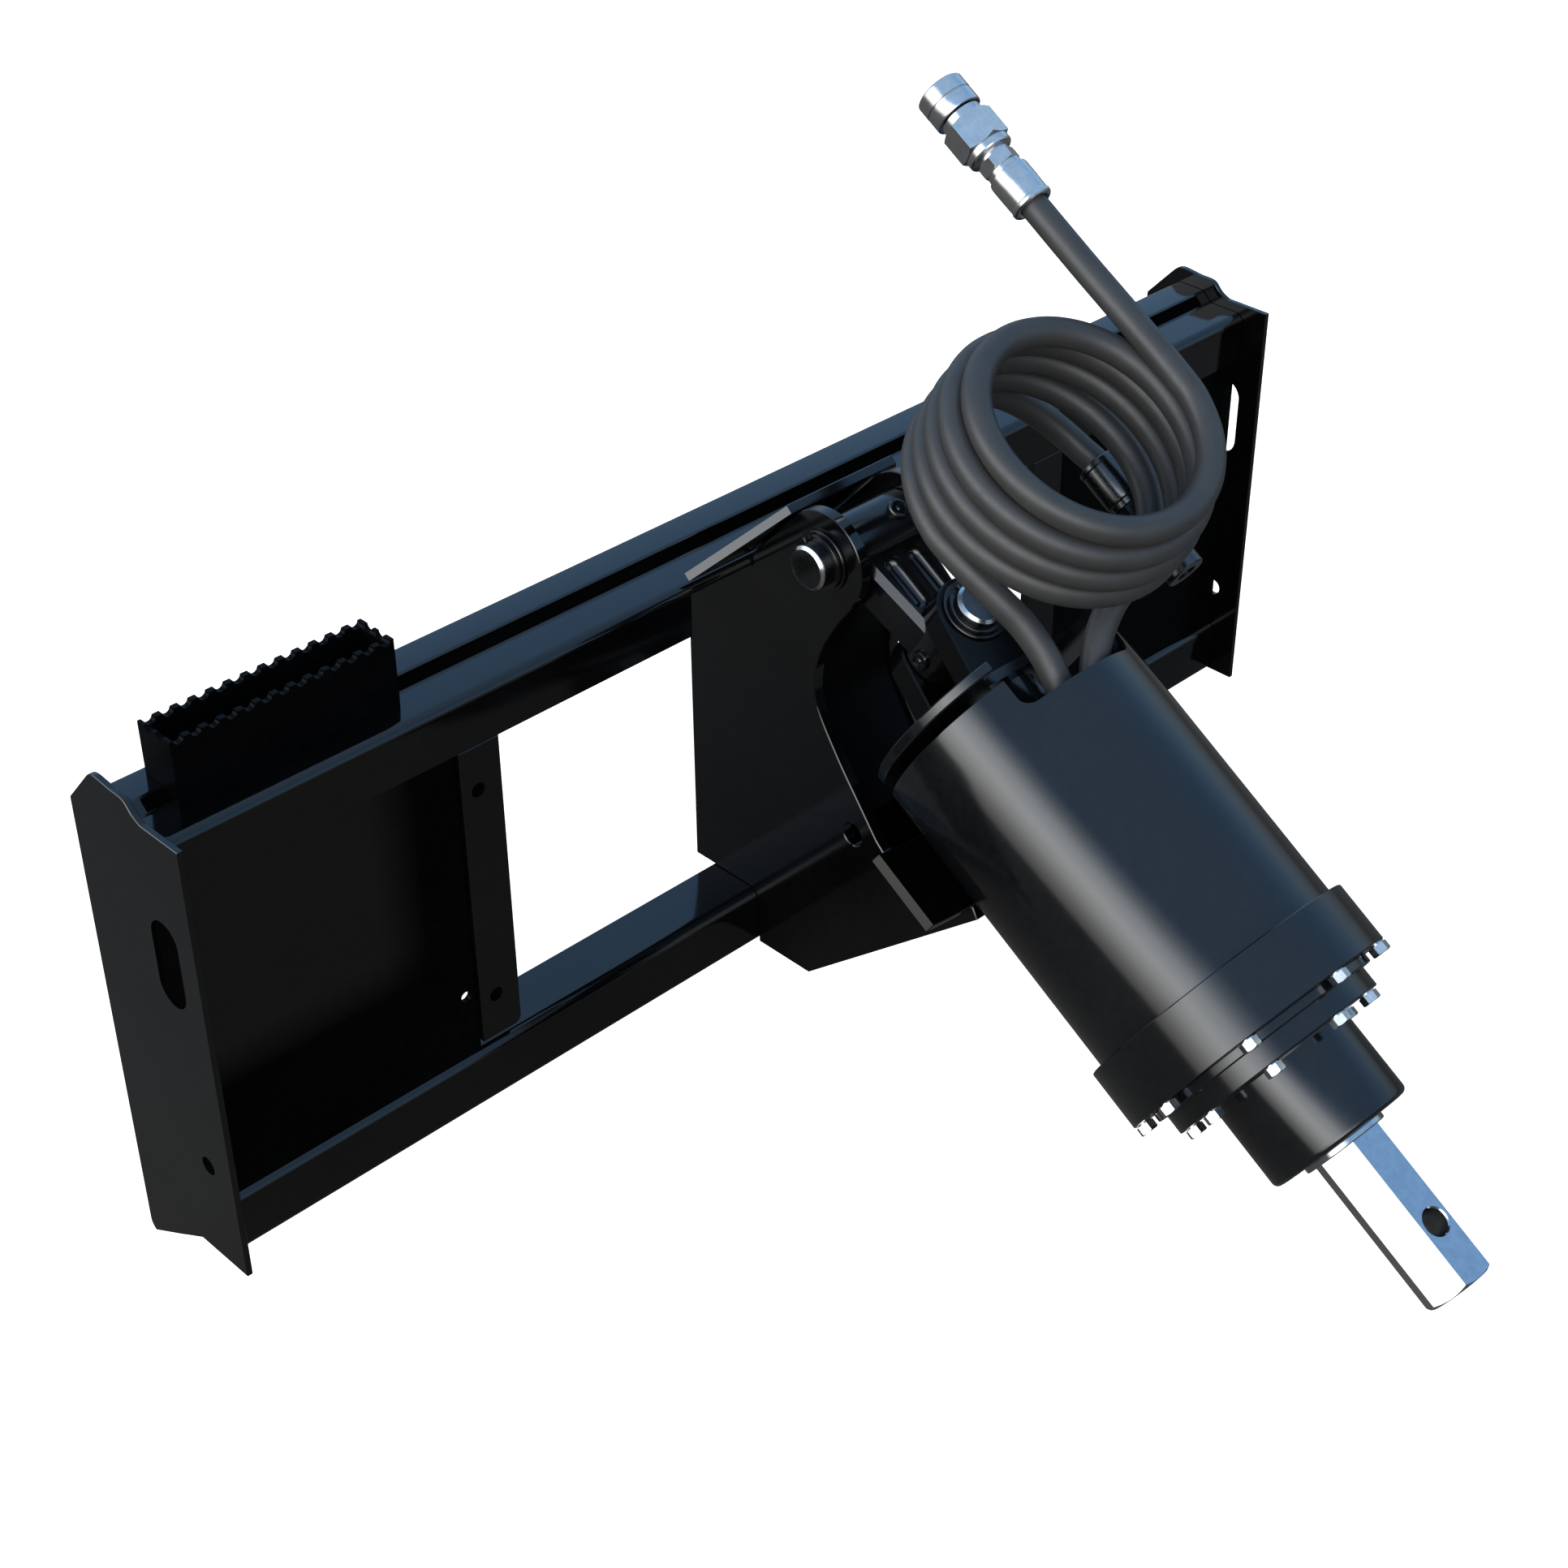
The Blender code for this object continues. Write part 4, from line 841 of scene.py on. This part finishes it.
# port block with two swivel fittings and hose ferrules
block = [(-44, 39), (34, 39), (34, 58)] + arc(26, 58, 8, 0, 90, 10)[1:] + arc(-36, 58, 8, 90, 180, 10)
pb = [prism("block_plate", block, 262.6, 274.6, lambda u, v, w: D(u, w, v), ZINC, c=0.8)]
for i, xx in enumerate((12.0, -15.0)):
    fm = (lambda cx: (lambda a, b, w: D(cx + a, w, 52.2 + b)))(xx)
    pb.append(lathe("block_ferrule_%d" % i, [(11.1, 262.7), (14.5, 262.7), (14.9, 261.8), (14.9, 246.0), (14.2, 245.0), (13.6, 240.5), (12.4, 240.2), (11.1, 241.0)], 60, fm, ZINC))
put(join("port_block_fittings", pb), "drive", "plated_steel", "port_block")

# gear housing: plain drum with its ring of bolt holes
gh = lathe("gear_housing_skin", [(0, 418.1), (FLANGE_R - 0.8, 418.1), (FLANGE_R, 418.9), (FLANGE_R, FLANGE_END - 0.8), (FLANGE_R - 0.8, FLANGE_END), (95.2, FLANGE_END), (95.2, 462), (82, 462), (82, 428), (0, 428)], 216, AT, DRIVE_PAINT)
ang = [2 * math.pi * i / BOLT_N for i in range(BOLT_N)]
tools = []
for i, q in enumerate(ang):
    tools.append(prism("cut_bolt_%d" % i, circle(BOLT_R1 * math.cos(q), BOLT_R1 * math.sin(q), 4.6, 24), 450, 475, lambda u, v, w: D(u, w, v), DRIVE_PAINT, c=0))
put(bake(boolean(gh, *tools), tools), "drive", "drive_paint", "gear_housing")

no_prof = [(95.0, 467.4), (95.0, 473.4), (94.4, 474.0), (88.6, 474.0), (88.0, 474.5), (88.0, 489.2), (87.2, 490.0), (60.0, 490.0), (58.9, 490.4), (NOSE_R, 491.6), (NOSE_R, 556.2), (57.9, 558.2), (56.6, 559.8),
           (54.8, 560.7), (52.5, NOSE_END), (45.6, NOSE_END), (45, 560.4), (45, 551.5), (36, 551.5), (36, 505), (45, 505), (45, 479), (66, 475), (66, 467.4)]
no = lathe("output_housing_skin", no_prof, 200, AT, DRIVE_PAINT)
tools = []
for i, q in enumerate(ang):
    tools.append(prism("cut_bolt_%d" % i, circle(BOLT_R2 * math.cos(q), BOLT_R2 * math.sin(q), 4.6, 24), 475.5, 494, lambda u, v, w: D(u, w, v), DRIVE_PAINT, c=0))
pa = 0.55
tools.append(prism("cut_port", circle(0, 510, 6, 40), 49.5, 70, lambda u, v, w: D(w * math.cos(pa) - u * math.sin(pa), v, w * math.sin(pa) + u * math.cos(pa)), DRIVE_PAINT, c=0))
put(bake(boolean(no, *tools), tools), "drive", "drive_paint", "output_housing")

# hexagon head bolts with washer faces and shanks
for i, q in enumerate(ang):
    for grp, R, h0, h1, e in (("flange_bolt", BOLT_R1, 467.4, 475.0, 452.0), ("nose_bolt", BOLT_R2, 490.4, 497.8, 477.0)):
        cx, ch = R * math.cos(q), R * math.sin(q)
        fm = (lambda cx, ch: (lambda a, b, w: D(cx + a, w, ch + b)))(cx, ch)
        hd = hexagon("head", 13.0, h0 + 0.7, h1, fm, ZINC, 0.96, both=False, seg=8, phase=q + 0.35 * i)
        wf = lathe("washer_face", [(0, h0 + 0.75), (6.2, h0 + 0.75), (6.2, h0), (4.0, h0), (4.0, e + 0.6), (3.4, e), (0, e)], 24, fm, ZINC)
        put(join("%s_%d_hex" % (grp, i + 1), [hd, wf]), "drive", "plated_steel", "%s_%d" % (grp, i + 1))

# output shaft: collar, hexagon with turned corners, cross hole with a chamfer
col = lathe("output_shaft_skin", [(0, 457), (66, 457), (66, 465), (38, 470), (30, 474), (30, 561.3), (33.4, 561.3), (34, 561.9), (34, 565.2), (33.2, 566), (0, 566)], 120, AT, STEEL)
hexbar = hexagon("tool_hex", HEX_AF, 560, HEX_END, AT, STEEL, 0.96, both=False, seg=16, phase=math.radians(30))
pins = []
for i in range(3):
    q = 2 * math.pi * i / 3
    pins.append(prism("tool_pin_%d" % i, circle(46.8 * math.cos(q), 46.8 * math.sin(q), 8.4, 40), 428.5, 460, lambda u, v, w: D(u, w, v), STEEL, c=0))
hole = lathe("cut_cross", [(0, -40), (13.5, -40), (13.5, -26), (CROSS_R + 1.1, -25.2), (CROSS_R, -23.9), (CROSS_R, 23.9), (CROSS_R + 1.1, 25.2), (13.5, 26), (13.5, 40), (0, 40)], 56,
             lambda a, b, w: D(a, CROSS_T + b, w), STEEL)
boolean(col, hexbar, *pins, op="UNION")
boolean(col, hole)
put(bake(col, [hexbar, hole] + pins, sharp=16), "output", "ground_steel", "output_shaft")

# ------------------------------------------------------------------ carried-over solids
KEEP = {"motor_body": CAST_PAINT, "shaft_bearing": STEEL, "shaft_seal": SEAL, "sun_shaft": GEAR, "planet_gear_1": GEAR, "planet_gear_2": GEAR, "planet_gear_3": GEAR}
for nm, m in KEEP.items():
    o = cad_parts[nm]
    if not o.material_slots:
        o.data.materials.append(m)
    for s in o.material_slots:
        s.material = m

# ------------------------------------------------------------------ light and ground
world = bpy.data.worlds.new("studio")
scene.world = world
world.use_nodes = True
nt = world.node_tree
nt.nodes.clear()
out_n = nt.nodes.new("ShaderNodeOutputWorld")
bg_room = nt.nodes.new("ShaderNodeBackground")
bg_white = nt.nodes.new("ShaderNodeBackground")
bg_white.inputs["Color"].default_value = (1, 1, 1, 1)
mixs = nt.nodes.new("ShaderNodeMixShader")
lp = nt.nodes.new("ShaderNodeLightPath")
tc = nt.nodes.new("ShaderNodeTexCoord")
sep = nt.nodes.new("ShaderNodeSeparateXYZ")
nt.links.new(tc.outputs["Generated"], sep.inputs[0])
zz = remap(nt, sep.outputs["Z"], -1, 1, 0, 1)
S = 0.12                       # the ramps hold up to 1, so they are scaled back up
sky = ramp(nt, zz, [(0.0, (0.19 * S, 0.19 * S, 0.19 * S)), (0.40, (0.20 * S, 0.20 * S, 0.195 * S)), (0.475, (0.20 * S, 0.20 * S, 0.20 * S)), (0.54, (0.38 * S, 0.46 * S, 0.53 * S)),
                    (0.62, (0.50 * S, 0.76 * S, 1.03 * S)), (0.70, (0.42 * S, 0.73 * S, 1.16 * S)), (0.80, (0.31 * S, 0.60 * S, 1.03 * S)), (1.0, (0.48 * S, 0.72 * S, 1.02 * S))])
glow = ramp(nt, zz, [(0.30, (0.0, 0.0, 0.0)), (0.43, (0.40 * S, 0.39 * S, 0.36 * S)), (0.50, (1.2 * S, 1.18 * S, 1.08 * S)), (0.55, (2.3 * S, 2.25 * S, 2.05 * S)), (0.61, (4.4 * S, 4.3 * S, 4.0 * S)),
                     (0.68, (6.2 * S, 6.1 * S, 5.8 * S)), (0.76, (4.2 * S, 4.2 * S, 4.1 * S)), (0.82, (1.2 * S, 1.2 * S, 1.2 * S)), (0.865, (0.0, 0.0, 0.0))])
west = nt.nodes.new("ShaderNodeVectorMath")
west.operation = "DOT_PRODUCT"
west.inputs[1].default_value = (-0.975, -0.22, 0.0)
nt.links.new(tc.outputs["Generated"], west.inputs[0])
side_f = remap(nt, west.outputs["Value"], 0.15, 0.72, 0.0, 1.0)
scale_glow = nt.nodes.new("ShaderNodeVectorMath")
scale_glow.operation = "SCALE"
nt.links.new(glow, scale_glow.inputs[0])
nt.links.new(side_f, scale_glow.inputs["Scale"])
add = nt.nodes.new("ShaderNodeVectorMath")
add.operation = "ADD"
nt.links.new(sky, add.inputs[0])
nt.links.new(scale_glow.outputs[0], add.inputs[1])
nt.links.new(add.outputs[0], bg_room.inputs["Color"])
bg_room.inputs["Strength"].default_value = 1.0 / S
nt.links.new(lp.outputs["Is Camera Ray"], mixs.inputs["Fac"])
nt.links.new(bg_room.outputs[0], mixs.inputs[1])
nt.links.new(bg_white.outputs[0], mixs.inputs[2])
nt.links.new(mixs.outputs[0], out_n.inputs["Surface"])


def plane(name, size, z, material):
    bm = bmesh.new()
    bmesh.ops.create_grid(bm, x_segments=4, y_segments=4, size=size)
    me = bpy.data.meshes.new(name)
    bm.to_mesh(me)
    bm.free()
    me.materials.append(material)
    o = bpy.data.objects.new(name, me)
    o.location = (0, 0, z)
    scene.collection.objects.link(o)
    o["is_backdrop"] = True
    return o


fm = bpy.data.materials.new("floor_pale")
nt2, nd2, ln2, b2 = nodes_of(fm)
b2.inputs["Base Color"].default_value = (0.9, 0.9, 0.9, 1)
b2.inputs["Roughness"].default_value = 0.9
b2.inputs["Specular IOR Level"].default_value = 0.0
b2.inputs["Emission Color"].default_value = (1, 1, 1, 1)
b2.inputs["Emission Strength"].default_value = 1.0
floor = plane("floor", 12.0, -0.4305, fm)
floor.visible_glossy = False
floor.visible_diffuse = False
floor.visible_shadow = False
gm = bpy.data.materials.new("floor_bounce")
nt3, nd3, ln3, b3 = nodes_of(gm)
b3.inputs["Base Color"].default_value = (0.13, 0.108, 0.088, 1)
b3.inputs["Roughness"].default_value = 1.0
b3.inputs["Specular IOR Level"].default_value = 0.0
bounce = plane("floor_bounce", 6.0, -0.4300, gm)
bounce.visible_camera = False
bounce.visible_shadow = False

# ------------------------------------------------------------------ sizes and finish
bpy.context.view_layer.update()
{"cad": CAD_BOX, "visual": plain(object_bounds())}
